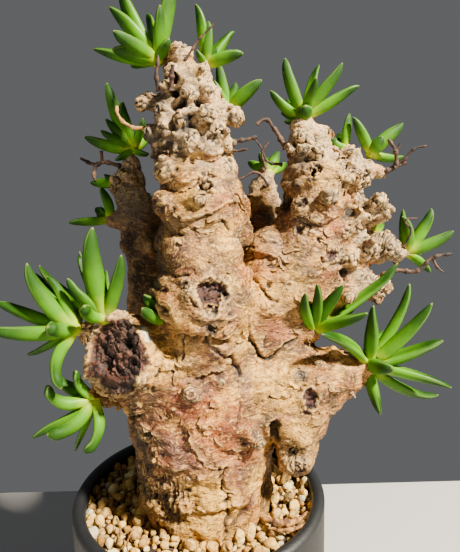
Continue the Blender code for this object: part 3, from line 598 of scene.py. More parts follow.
def wart_zone(places):
    """Where twigs and leaves were shed: one near the tips of the arms, zero on the trunk."""
    x, z = places[:, 0], places[:, 2]
    crown = ramp(z, 246, 258) * (x < 34) * (x > -14)
    right = ramp(x, 68, 80) * ramp(z, 180, 195) + ramp(z, 248, 258) * (x >= 34)
    left = ramp(z, 222, 240) * (x <= -14)
    behind = ramp(places[:, 1], 30, 42) * ramp(z, 176, 190)
    return np.clip(crown + right + left + behind, 0, 1)


def uneven(skin, lump, grain):
    """A wobble for a mark's edge, from the lump and grain fields."""
    return lump * (skin.lump - 0.5) + grain * (skin.grain - 0.5)


def begin_relief(mesh):
    """The skin's points and fields, its first height and its empty masks."""
    places, normals = points_of(mesh)
    skin = SimpleNamespace(**{name: read(mesh, name) for name in FIELD_NAMES})
    skin.places, skin.normals = places, normals
    skin.mask = {name: np.zeros(len(places)) for name in MASK_NAMES}
    skin.mask["warty"] = wart_zone(places) * ramp(skin.patch, 0.34, 0.46)
    skin.smooth = 1 - 0.7 * skin.mask["warty"]
    skin.height = SWELL * (skin.swell - 0.5) + LUMP * (skin.lump - 0.5) + GRAIN * (skin.grain - 0.5)
    return skin


skin = begin_relief(bark_skin.data)
print("broad forms within", round(float(np.abs(skin.height).max()), 1), "mm")


# %% [markdown]
# The terraces come from cutting one noise at several levels: where it is above a level, one
# more layer of dry skin is still there, and right at the edge that layer curls up a little.
# Wrinkles run round the limbs, so their noise is squashed along the height. The places that
# look calm in life are listed, and the rule is held back there.

# %% Layers, splits and wrinkles
PEEL_LEVELS = (0.41, 0.48, 0.55, 0.62)
LAYER, CURL, SPLIT, WRINKLE = 0.22, 0.25, 0.7, 1.4
CALM = [
    (4, -26, 232, 14), (8, -30, 196, 12), (42, -24, 150, 14), (8, -34, 150, 26), (0, -34, 112, 16),
    (10, -30, 215, 20), (42, -16, 205, 14), (10, -24, 240, 12),
]


def peel_and_split(skin):
    """Terraces with curled edges, splits between the plates, and wrinkles."""
    known = region(skin.places, CALM)
    peel = skin.peel + 0.025 * (skin.grain - 0.5)
    looks_down = ramp(skin.peel - skin.peel_below, 0.0, 0.02)
    loose = ramp(skin.patch, 0.48, 0.58) * looks_down * skin.smooth * (1 - 0.8 * known)
    lip, under = skin.mask["lip"], skin.mask["under"]
    for level in PEEL_LEVELS:
        inside = ramp(peel, level, level + 0.012)
        lip += inside * np.exp(-np.clip(peel - level, 0, 1) / 0.02) * loose
        # painted shadow: the skin just below a loose curled edge is marked for a dark band
        under += (1 - inside) * np.exp(-np.clip(level - peel, 0, 1) / 0.016) * loose
        skin.height += skin.smooth * LAYER * inside
    skin.height += CURL * lip - CURL * under
    split = 1 - ramp(skin.crack + 0.03 * (skin.grain - 0.5), 0.0, 0.035)
    split *= ramp(skin.patch, 0.58, 0.62) * skin.smooth * (1 - known)
    skin.height -= SPLIT * split
    skin.mask["split"] = split
    skin.height += skin.smooth * WRINKLE * (skin.wrinkle - 0.5)


peel_and_split(skin)
print("curled edges on", int((skin.mask["lip"] > 0.3).sum()), "points")


# %% [markdown]
# Warts are kept to the upper parts of the arms, where leaves were shed last: one per cell of
# a Voronoi field. The larger knobs and the dark pockets between them give the arms their
# outline, so those are listed one by one.

# %% Warts, knobs and pockets: centre, radius, and height or depth
WART = 1.9
CRUSTY = [
    (42, -22, 131, 5.5), (44.5, -25, 124, 6), (88, 0, 235, 6), (90, 0, 213, 6), (87, 0, 198, 6),
    (10.3, -35.8, 202.4, 6.5), (46, -23, 121, 4.5), (-7.6, -21, 249.7, 3.6), (9.3, -25, 243.6, 4.6),
    (17, -16, 250, 4), (22.7, -19, 222, 4.5), (48.7, -6.7, 236, 4), (53, -9, 226, 4.5),
    (63.8, -7.3, 212, 5), (1.2, -35, 204.6, 3), (47, 0, 262, 8), (56, -1, 258, 7), (68, 0, 248, 8),
    (20, -27, 180, 3), (-19, -29, 142, 3), (28.5, -33, 136, 3),
]
KNOBS = [
    (-16, -14, 276, 2.6, 2), (-8, -15, 273, 3.8, 2.5), (-13, -12, 265, 3.4, 2.5), (0, -21, 269, 3.3, 2.2),
    (10, -20, 271, 3.7, 2.5), (20, -10, 271, 3.9, 3), (14, -15, 264, 3.8, 3), (3, -20, 261, 3.7, 2.5),
    (4, -19, 279, 2.9, 1.5), (11, -15, 280, 3, 2.5), (8, -13, 288, 2.2, 1.5), (-3, -8, 298, 3.6, 1.5),
    (-7, -19, 266, 2.5, 1.5), (45, 0, 258, 1.8, 1.5), (50, -3, 257, 2.7, 2), (55, -2, 258, 3.2, 2),
    (59, 0, 260, 2.3, 1.5), (49, 0, 264, 2.7, 1.5), (60, -9, 237, 2.8, 3.5), (74, 6, 257, 3.8, 2.5),
    (66, 0, 251, 2.3, 1.5), (76, 0, 245, 5.1, 2.5), (75, 1, 237, 3.3, 2), (83, -1, 235, 3.7, 2.5),
    (88, 6, 218, 3.9, 2), (80, 0, 214, 4.7, 2), (72, -5, 210, 4.1, 2), (87, 1, 198, 4.3, 1.5),
    (79, 2, 201, 4.3, 1.5), (69, -8, 194, 2.3, 2), (68, -4, 222, 3.6, 1.5),
]
# A pocket with a fifth value goes that deep and gets the pits' painted shade inside
POCKET_DEPTH = 1.7
POCKETS = [
    (-3.5, -15.5, 285.5, 1.8, 3), (-2.5, -17, 280, 2, 3.5), (-1.5, -18.5, 275, 1.8, 3),
    (2.5, -20, 270, 2.2, 3), (-29, -12, 145, 3.2, 3.5), (-26, -20, 147, 3, 3.5),
    (-22.5, -24.5, 150.5, 2, 2.5), (33.5, -25, 142.5, 2.6, 5), (34.8, -23, 139, 2.2, 4.5),
    (35.5, -21, 135.5, 2.4, 4.5), (-11, -14, 286, 3.2), (0, -20, 276, 2.6), (8, -20, 265, 2.2),
    (-9, -9, 285, 4.5), (4, -20, 267, 2.1), (-3, -18, 274, 1.7), (2, -21, 265, 2), (-5, -20, 259, 2.1),
    (-13, -11, 271, 2), (7, -18, 276, 1.7), (-4, -11, 293, 1.8), (71, -2, 231, 2.3), (68, -5, 242, 1.8),
    (68, -6, 204, 2.3), (76, -3, 208, 1.9), (44, 2, 234, 3.7), (83, 4, 224, 2.4),
]


def raise_warts(skin):
    """Warts by rule and listed knobs, both with a crust."""
    warty = skin.mask["warty"]
    knobby = np.clip(1 - (skin.wart / 0.6) ** 2, -0.5, 1) * ramp(skin.lump + 0.3 * skin.pit_pick, 0.4, 0.8)
    skin.height += warty * (WART * knobby - 0.8)
    by_rule = warty * ramp(knobby, 0.3, 0.9) * ramp(skin.lump, 0.4, 0.58)
    crusty = np.maximum(by_rule, region(skin.places, CRUSTY))
    for knob in KNOBS:
        reach = nearness(skin.places, knob) + uneven(skin, 0.8, 0.6)
        skin.height += 1.05 * knob[4] * ramp(1.4 - reach, 0, 0.9) - 0.6 * bell(reach, 1.6, 0.25)
        crusty = np.maximum(crusty, 0.9 * ramp(1.0 - reach, 0, 0.3))
    skin.mask["crusty"] = crusty


def press_pockets(skin):
    """Pockets between the knobs and beside the lobe, with painted shade inside."""
    for x, y, z, radius, *depth in POCKETS:
        pressed = ramp(1.4 - nearness(skin.places, (x, y, z, radius)) - uneven(skin, 0.8, 0.6), 0, 0.9)
        skin.height -= (depth[0] if depth else POCKET_DEPTH) * pressed
        # painted shade inside every pocket, through the under mask
        skin.mask["under"] = np.maximum(skin.mask["under"], 0.7 * pressed)
        if depth:
            skin.mask["pitted"] = np.maximum(skin.mask["pitted"], pressed)


raise_warts(skin)
press_pockets(skin)
print(len(KNOBS), "knobs and", len(POCKETS), "pockets placed by hand")


# %% [markdown]
# The crust on knobs and round the stub is crumbly cork: small blocks with gaps between them.
# Pits are torn holes, and only a few cells of their field get one. Low down the skin turns to
# root, with ropes that run downwards.

# %% Crumbs, bulges, pits and root ropes
# Bulges: centre, reach, and how far they rise or, below zero, sink
BULGES = [
    (-3, -30, 172, 6.5, 2.4), (-21, -27, 152, 12, 2.6), (8, -36, 150, 20, -2.0),
]
ROUGH_ROOT = [
    (-14, -26, 116, 12), (-10, -30, 110, 10), (-20, -24, 122, 9), (-22, -20, 108, 9), (-20, -28, 128, 8),
    (-24, 10, 112, 14), (20, 32, 108, 14), (-18, -28, 141, 5),
]
CRUMB, GAP, PIT, ROPE = 0.6, 1.3, 0.8, 2.6


def around_stub(skin):
    """How far out from the stub's middle each point is, unevenly, and whether it is near its face."""
    out, aside = stub_frame(skin.places)
    return aside + uneven(skin, 5.0, 2.5), (out > -7) & (out < 6)


def crumble(skin):
    """Crumbly crust on knobs and round the stub."""
    aside, near_face = around_stub(skin)
    stub_crust = near_face * bell(aside, 13.8, 1.6) * ramp(skin.lump, 0.4, 0.52)
    crusty = np.maximum(skin.mask["crusty"], stub_crust)
    gap = crusty * (1 - ramp(skin.crust, 0.0, 0.16))
    skin.height += CRUMB * crusty * (0.5 + skin.pit_pick) - GAP * gap
    skin.mask.update(crusty=crusty, gap=gap)


def bulge_and_pit(skin):
    """Listed soft swellings, and small torn pits by rule."""
    for bulge in BULGES:
        skin.height += bulge[4] * region(skin.places, [bulge])
    torn = skin.pit + 0.25 * (skin.grain - 0.5)
    pit = ramp(0.13 - torn, 0, 0.06) * (skin.pit_pick > 0.74)
    skin.height += 0.35 * bell(torn, 0.22, 0.06) * (skin.pit_pick > 0.74) - PIT * pit
    skin.mask["pitted"] = np.maximum(pit, skin.mask["pitted"])


def roughen_root(skin):
    """Upright ropes and lumps on the root."""
    root = region(skin.places, ROUGH_ROOT)
    rope = 1 - np.clip(np.abs(skin.fibre - 0.5) / 0.14, 0, 1)
    skin.height += root * (uneven(skin, 5.0, 2.0) + ROPE * rope - 1.6)
    skin.mask["root"] = root


crumble(skin)
bulge_and_pit(skin)
roughen_root(skin)
for name in ("crusty", "gap", "root"):
    print(name, "on", int((skin.mask[name] > 0.5).sum()), "points")


# %% [markdown]
# The deep grooves between the limbs, and the ledges where a plate of bark hangs loose, are
# long marks that the eye knows the plant by. Each is listed as a bent line on the bark. A
# groove is cut along its line. A ledge lifts the bark above its line and marks the bark below it for a
# painted shadow.

# %% Grooves (line, half width, depth) and ledges (line, lift)
GROOVES = [
    ([(-13, -24, 200), (-11, -29, 198), (-7, -33, 193), (-4, -33, 189), (-2, -32, 186), (2, -34, 185),
      (6, -36, 185), (10, -35, 184), (15, -32, 182)], 1.3, 2.8),
    ([(-2, -32, 186), (-2, -31, 181), (-2, -30, 175)], 0.6, 1.2),
    ([(7, -36, 185), (9, -33, 181), (12, -31, 177), (14, -29, 175), (17, -27, 175)], 0.7, 1.4),
    ([(17, -27, 175), (18, -26, 172), (20, -24, 168), (21, -24, 165)], 1, 1.6),
    ([(27, -24, 199), (26, -19, 192), (24, -24, 188), (25, -19, 181), (27, -17, 176),
      (29, -18, 171)], 0.9, 2),
    ([(29, -18, 171), (32, -17, 169), (35, -17, 170), (38, -16, 172), (42, -15, 174),
      (46, -12, 176)], 0.8, 1.8),
    ([(13, -32, 127), (11, -31, 123), (12, -30, 118), (14, -30, 115), (13, -30, 111)], 1, 2),
    ([(21, -28, 155), (20, -30, 151), (19, -31, 146), (18, -32, 143)], 0.5, 0.8),
    ([(-11, -32, 173), (-12, -33, 169), (-16, -33, 163), (-19, -32, 160)], 0.6, 1.2),
    ([(-7, -28, 178), (-5, -29, 174), (-6, -31, 169)], 0.5, 0.9),
    ([(19, -27, 102), (23, -26, 106), (27, -21, 109)], 1.3, 1.6),
    ([(12, -30, 112), (14, -29, 105), (12, -30, 100), (11, -30, 93)], 0.8, 1.2),
    ([(27, -12, 203), (30, -14, 201), (33, -15, 198), (37, -16, 194)], 0.6, 1),
    ([(-7, -27, 209), (-3, -31, 208), (1, -32, 209)], 0.7, 1.2),
    ([(16, -25, 228), (16, -24, 226), (18, -22, 224)], 0.6, 1),
    ([(2, -37, 200), (4, -37, 198), (7, -37, 196), (9, -37, 195), (12, -37, 195)], 0.8, 1.2),
    ([(31, -6, 219), (34, -7, 218), (38, -7, 218)], 0.6, 1),
    ([(57, -10, 212), (61, -9, 209), (67, -7, 209)], 0.8, 1.2),
    ([(67, -6, 205), (70, -4, 200)], 0.7, 1.2),
]
LEDGES = [
    ([(-10, -13, 247), (-6, -21, 245), (-4, -23, 243), (0, -25, 243), (3, -26, 243), (6, -25, 245)], 1.6),
    ([(-7, -26, 236), (-5, -24, 232), (-1, -26, 230), (3, -27, 230), (11, -27, 231), (14, -26, 233),
      (17, -24, 236)], 1.8),
    ([(-7, -20, 229), (-4, -23, 227), (-1, -26, 225)], 1.2),
    ([(5, -27, 227), (8, -27, 226), (11, -27, 227), (15, -25, 229)], 0.9),
    ([(-10, -17, 259), (-5, -20, 258), (-1, -21, 256), (3, -22, 255), (7, -20, 255), (12, -17, 255),
      (16, -14, 257)], 1.8),
    ([(-13, -20, 209), (-12, -24, 206), (-10, -26, 205), (-7, -30, 203)], 1.2),
    ([(6, -37, 193), (9, -37, 192), (14, -36, 192), (17, -35, 192)], 1.4),
    ([(29, -5, 215), (32, -7, 214), (34, -9, 212), (36, -11, 209)], 1.8),
    ([(-1, -36, 146), (1, -35, 141), (3, -35, 137), (6, -34, 133), (8, -33, 129), (11, -32, 128)], 1),
    ([(4, -35, 152), (5, -35, 149), (6, -35, 146)], 0.9),
    ([(-7, -30, 108), (-2, -31, 108), (4, -32, 108), (11, -30, 108)], 1.2),
    ([(-39, -29, 168), (-40, -25, 160), (-36, -26, 158), (-33, -26, 157), (-30, -25, 156), (-27, -24, 154),
      (-24, -23, 152)], 3.2),
    ([(3, -30, 167), (8, -30, 170), (11, -29, 171), (15, -28, 168)], 0.6),
    ([(8, -32, 157), (11, -32, 155)], 0.8),
    ([(49, -6, 230), (53, -8, 227), (57, -8, 225), (61, -8, 228), (68, -5, 231)], 1.2),
    ([(33, -25, 156), (39, -24, 157), (46, -24, 158)], 0.5),
    ([(-21, -25, 129), (-16, -30, 130), (-10, -32, 129), (-5, -33, 128)], 1.4),
    ([(24, -32, 136), (20, -30, 134), (16, -32, 136)], 0.8),
]


def edge_line(places, line, reach):
    """Nearness to a bent line on the bark, one to zero, and how far above it a point is."""
    best = np.full(len(places), 1e9)
    above = np.zeros(len(places))
    for a, b in zip(np.array(line[:-1], float), np.array(line[1:], float)):
        along = np.clip((places - a) @ (b - a) / ((b - a) @ (b - a)), 0, 1)
        offset = places - (a + along[:, None] * (b - a))
        distance = np.linalg.norm(offset, axis=1)
        nearer = distance < best
        best[nearer] = distance[nearer]
        above[nearer] = offset[nearer, 2]
    return np.clip(1 - best / reach, 0, 1), above


def cut_and_lift(skin):
    """Cut the grooves and lift the ledges, both a little crooked."""
    crooked = np.column_stack([8 * (skin.lump - 0.5), 0 * skin.lump, 8 * (skin.patch - 0.5)])
    for line, half, depth in GROOVES:
        near, _ = edge_line(skin.places + crooked, line, 4 * half)
        cut = ramp(near + uneven(skin, 0.5, 0.3), 0.6, 0.95)
        skin.height += 0.2 * depth * bell(near, 0.4, 0.2) - depth * cut
        skin.mask["split"] = np.maximum(skin.mask["split"], cut)
    for line, lift in LEDGES:
        near, above = edge_line(skin.places + 0.7 * crooked, line, 2.5 + 1.5 * lift)
        above = above + uneven(skin, 2.0, 1.2)
        skin.height += lift * near * ramp(above, 0, 0.7) - 0.9 * lift * near * ramp(-above, 0, 0.9)
        # painted shadow on the bark just below each ledge
        shade = ramp(near, 0.3, 0.8) * bell(above, -0.9, 0.8) * ramp(skin.lump, 0.3, 0.44)
        skin.mask["under"] = np.maximum(skin.mask["under"], shade)


cut_and_lift(skin)
print(len(GROOVES), "grooves and", len(LEDGES), "ledges")


# %% [markdown]
# Last come the marks with a shape of their own. Each is first moved to the bark point nearest
# to its centre, so that a mark listed slightly off the skin still lands on it.

# %% Wounds, craters and ringed buttons
RING_STEP = 1.2


def add_marks(skin):
    """Height of all the marks, and the masks that colour them."""
    places, lump, mask = skin.places, skin.lump, skin.mask
    height = np.zeros(len(places))
    rough = 1.3 * (skin.grain - 0.5) + 1.5 * (lump - 0.5)

    def from_mark(mark):
        """Nearness to the bark point that is closest to a mark's centre."""
        nearest = places[np.argmin(np.linalg.norm(places - mark[:3], axis=1))]
        return nearness(places, (*nearest, mark[3]))

    for mark in WOUNDS:
        reach = from_mark(mark) + rough * min(1, mark[3] / 4.5)
        torn = 3.0 * (skin.grain - 0.5) + 2.0 * (lump - 0.5)
        height += (reach < 1.1) * torn - 0.5 * mark[4] * ramp(1.0 - reach, 0, 0.35)
        height -= 0.5 * bell(reach, 1.0, 0.1) * ramp(lump, 0.4, 0.6)
        height += mark[5] * bell(reach, 1.3, 0.25) * (0.2 + 1.4 * lump)
        height += 0.16 * np.cos(9 * reach) * bell(reach, 1.8, 0.6)
        mask["wound"] = np.maximum(mask["wound"], ramp(1.1 - reach, 0, 0.15))
        mask["collar"] = np.maximum(mask["collar"], bell(reach, 1.3, 0.28))
    for mark in CRATERS:
        reach = from_mark(mark) + 1.6 * rough
        height -= 0.8 * mark[4] * ramp(1.0 - reach, 0, 0.5)
        height += mark[5] * bell(reach, 1.35, 0.3) * (0.2 + 1.6 * lump)
        mask["crater"] = np.maximum(mask["crater"], ramp(1.1 - reach, 0, 0.3))
    for mark in RINGED:
        reach = from_mark(mark) + 0.3 * rough
        near = ramp(1.3 - reach, 0, 0.3)
        height += 0.28 * np.cos(math.tau * reach * mark[3] / RING_STEP) * near * (0.4 + 1.2 * lump)
        height += 0.7 * near * (1 - reach) - 0.8 * bell(reach, 0, 0.2)
        mask["ringed"] = np.maximum(mask["ringed"], near)
        mask["ring"] = np.where(near > 0.05, reach * mark[3], mask["ring"])
    skin.height += height


add_marks(skin)
print("marks made: wound points", int((skin.mask["wound"] > 0.5).sum()))

# %% The stub's rolled rim, then move the points and keep the masks
RIM_LAYER = 1.7


def roll_rim(skin):
    """Layered bark rolled over the sawn face's edge."""
    aside, near_face = around_stub(skin)
    layers = near_face * ramp(aside, 12.8, 13.6) * ramp(24 - aside, 0, 5) * ramp(skin.patch, 0.36, 0.48)
    beat = np.cos(math.tau * aside / RIM_LAYER + 9 * skin.lump)
    skin.height += 0.6 * layers * beat
    cracked = layers * ramp(-beat, 0.5, 0.9) * ramp(skin.grain, 0.42, 0.55)
    roll = (0.3 + 2.0 * skin.lump) * bell(aside, 13.2, 1.2)
    skin.height += near_face * (roll - 2.0 * ramp(STUB_RADIUS - 0.2 - aside, 0, 1.0))
    skin.height += near_face * 1.2 * bell(aside, 17, 3) * (skin.wrinkle - 0.5)
    rim = near_face * bell(aside, 14.5, 2.5) * ramp(skin.lump, 0.4, 0.5)
    mask = skin.mask
    mask["gap"] = np.maximum(mask["gap"], cracked)
    mask["ring"] = np.where(rim > 0.05, aside, mask["ring"])
    mask["ringed"] = np.maximum(mask["ringed"], rim)
    mask["wound"] = np.maximum(mask["wound"], near_face * ramp(STUB_RADIUS - 0.1 - aside, 0, 0.6))
    mask["collar"] = np.maximum(mask["collar"], near_face * bell(aside, 15, 3))


roll_rim(skin)
for name, values in skin.mask.items():
    store(bark_skin.data, name, np.clip(values, 0, 1) if name in ("lip", "under") else values)
set_points(bark_skin.data, skin.places + skin.normals * skin.height[:, None])
print("relief from", round(float(skin.height.min()), 2), "to", round(float(skin.height.max()), 2), "mm")


# %% [markdown]
# ## Where shade is painted and where colour changes
# Hollows are painted darker as shade and dust, and edges are rubbed pale. How far a point stands out from
# its own smoothed skin gives both: below is a hollow, above is an edge. Broad colour regions
# come next, because this trunk is redder low down, where sun and water reach the young skin
# between the plates, and sandy higher up. Two of them are painted shade, on the flanks that turn
# away from the lamp.


# %% Measure hollows and edges against a smoothed copy
def standing_out(obj, rounds):
    """How far each point stands above the same skin after smoothing, in millimetres."""
    places, normals = points_of(obj.data)
    soft = obj.modifiers.new("soft", "SMOOTH")
    soft.factor = 0.5
    soft.iterations = rounds
    smoothed = evaluated_mesh(obj)
    obj.modifiers.remove(soft)
    flat, _ = points_of(smoothed)
    bpy.data.meshes.remove(smoothed)
    return ((places - flat) * normals).sum(axis=1)


for name, rounds in (("edge", 6), ("rise", 40)):
    amount = standing_out(bark_skin, rounds)
    store(bark_skin.data, name, amount)
    print(name, "from", round(float(amount.min()), 1), "to", round(float(amount.max()), 1), "mm")

# %% Broad colour regions, each a list of soft balls: centre and reach in millimetres
REGIONS = {
    "chalky": [(-17.2, -26.2, 187, 3.2), (-16.5, -28, 182.5, 2.4)],
    "ruddy": [
        (0, -31, 214, 6), (-2, -34, 155, 11.2), (10, -30, 167, 7.5), (-6, -32, 160, 5),
        (-4, -35, 149, 6.2), (-7, -34, 137, 12.5), (1, -34, 131, 8.8), (17, -28, 120, 7.5),
        (-17, -29, 144, 5), (-12, -29, 122, 7.5), (3, -31, 214, 5), (36, -16, 182, 7.5), (50, -24, 152, 5),
        (23, -26, 107, 5), (61, -8, 206, 5), (-24, 10, 130, 22), (20, 34, 140, 24), (34, 10, 122, 18),
    ],
    "lilac": [
        (11, -31, 178, 5), (0, -28, 222, 7), (-3, -34, 133, 7), (0, -30, 173, 6.2), (22, -24, 161, 5),
        (55, -6, 241, 5), (-8, -33, 138, 6.2), (19, -28, 124, 6.2), (44, -7, 219, 6.2), (3, -32, 181, 3.8),
        (48, -7, 226, 5), (-26, 16, 160, 9), (10, 38, 160, 9), (-8, 24, 220, 7),
    ],
    "rusty": [
        (10, -34, 146, 10), (17, -31, 153, 5), (14, -33, 135, 6.2), (22, -28, 130, 5), (8, -32, 156, 3.8),
        (1, -25, 245, 3.2), (15, -25, 237, 3.8), (21, -11, 248, 3), (-7, -33, 201, 3),
        (24.4, -21, 207.5, 4), (32, -7, 213, 3.8), (32, -13, 205, 5), (13, -17, 254, 2.5),
        (0, -36, 189, 3), (-16, -30, 128, 5), (61, -8, 225, 5), (-30, 8, 170, 14), (28, 36, 190, 12),
        (5, 26, 240, 8), (52, 4, 205, 7),
    ],
    "creamy": [
        (-2, -31, 172, 5), (33, -15, 198, 7), (41, -22, 157, 9), (45, -24, 140, 7), (-13, -31, 177, 8.8),
        (-21, -37, 172, 5), (22, -24, 180, 6.2), (0, -32, 118, 7.5), (9, -31, 111, 8.8),
        (2, -32, 100, 12.5), (23, -29, 193, 3.2), (27, -21, 115, 6.2), (33, -23, 162, 7.5),
        (5, -22, 257, 3.8), (18, -33, 206, 4.5), (-7, -23, 249, 3), (16, -25, 220, 6.2),
        (43, -14, 201, 6.2), (3, -27, 239, 6.2), (38, -21, 165, 5), (66, -8, 192, 5), (-16, -24, 185, 3.8),
        (3, -16, 286, 8), (14, -14, 270, 8), (60, -4, 246, 8), (0, 34, 180, 10),
    ],
    # painted shade: a darker tan on the flanks that turn away from the lamp
    "tanned": [
        (-4, -28, 222, 10), (-6, -28, 212, 9), (-6, -24, 234, 9), (-4, -22, 248, 7), (-4, -32, 197, 8),
        (-8, -30, 186, 6), (38, -6, 225, 8), (44, -4, 244, 7), (0, -30, 210, 7), (-12, -30, 118, 10),
        (-6, 30, 230, 14), (30, 30, 170, 16),
    ],
    # painted shade: dark grey on the flanks and clefts that lie in shade
    "shady": [
        (-9, -10, 284, 7), (-9, -14, 279, 6), (-7, -19, 258, 4.5), (-1, -21, 256, 4), (-14, -13, 262, 5),
        (-12, -24, 206, 5), (-11, -27, 203, 4), (-11, -21, 208, 4), (49, -2, 251, 5), (34, -25, 144, 3.5),
        (36, -20, 136, 3.5), (-8, -10, 288, 5), (-13, -14, 274, 4), (-27, -18, 149, 4),
        (46.3, -23, 163.6, 2.8), (46, -24, 121, 5), (42, -26, 117, 5), (-24, -20, 112, 8),
        (-27, 18, 236, 14), (-30, 14, 214, 12), (-24, 16, 190, 10), (-12, -16, 284, 6), (-11, -14, 292, 5),
        (-13, -14, 246, 8), (-15, -16, 230, 8), (-14, -17, 216, 8), (-14, -20, 204, 6), (-14, -12, 262, 6),
        (-23, -23, 134, 6.2), (-25, -17, 119, 6.2), (-12, -10, 255, 6.2), (-3, -22, 260, 5),
        (-15, 10, 226, 7.5), (47, -4, 243, 3.8), (43, 4, 234, 5), (-8, -29, 106, 3.8),
        (-19, -26, 128, 3.8), (-31, -9, 145, 5), (10, -37, 189, 3), (-7, -12, 285, 3.8), (4, -16, 286, 3),
        (-9, -15, 273, 3.8), (-24, 21, 205, 14), (36, -4, 240, 6), (8, -18, 260, 4), (-1, -20, 264, 4),
    ],
}


def store_regions(mesh):
    """Keep the colour regions' influence on a mesh's points."""
    places, _ = points_of(mesh)
    for label, spots in REGIONS.items():
        store(mesh, label, region(places, spots))


store_regions(bark_skin.data)
print("colour regions:", {label: len(spots) for label, spots in REGIONS.items()})

# %% Thin the skin out where it is flat
BARK_FACES = 196000
thin = bark_skin.modifiers.new("Thin out", "DECIMATE")
thin.ratio = BARK_FACES / (2 * len(bark_skin.data.polygons))
thin.use_collapse_triangulate = True
bake_modifiers(bark_skin)
smooth_shading(bark_skin.data)
print("bark skin:", len(bark_skin.data.polygons), "faces")


# %% [markdown]
# ## The bark's finish
# Colour goes on in the order in which it happened: the young skin first, then the dry layers
# over it, each a little paler and greyer, then sun-bleached rims, rust where the sap dried,
# then painted shade in the hollows, under lifted edges and on the flanks that turn from the
# lamp, and last the dark of wounds. Bark has no gloss apart from a faint sheen where
# the papery skin is stretched, so roughness stays high and only dips on the plates. The
# threads of the bark run round the limbs, so their noise is stretched sideways.

# %% Threads, hairs and cracks of the bark, in cycles per metre
THREADS = (130, 130, 480)
HAIRS = (620, 620, 1150)
CRACKS = 190.0
BARK_MASKS = (*REGIONS, *MASK_NAMES, "plate", "lump", "wart", "fibre", "edge", "rise")


def bent_place(tree):
    """Object coordinates pushed about by slow noise, so that no pattern runs straight."""
    place = add(tree, "ShaderNodeTexCoord").outputs["Object"]
    swirl = add(tree, "ShaderNodeTexNoise", {"Vector": place, "Scale": 55.0, "Detail": 2.0}).outputs["Color"]
    return add(tree, "ShaderNodeVectorMath", {0: swirl, 1: (0.014, 0.014, 0.014), 2: place},
               operation="MULTIPLY_ADD").outputs[0]


def thread_noise(tree, place, cycles, detail, roughness):
    """Noise with its own number of cycles along each axis."""
    flat = add(tree, "ShaderNodeMapping", {"Vector": place, "Scale": cycles}).outputs[0]
    values = {"Vector": flat, "Scale": 1.0, "Detail": detail, "Roughness": roughness}
    return add(tree, "ShaderNodeTexNoise", values).outputs["Fac"]


print("a thread is about", round(1000 / THREADS[2], 1), "mm wide")


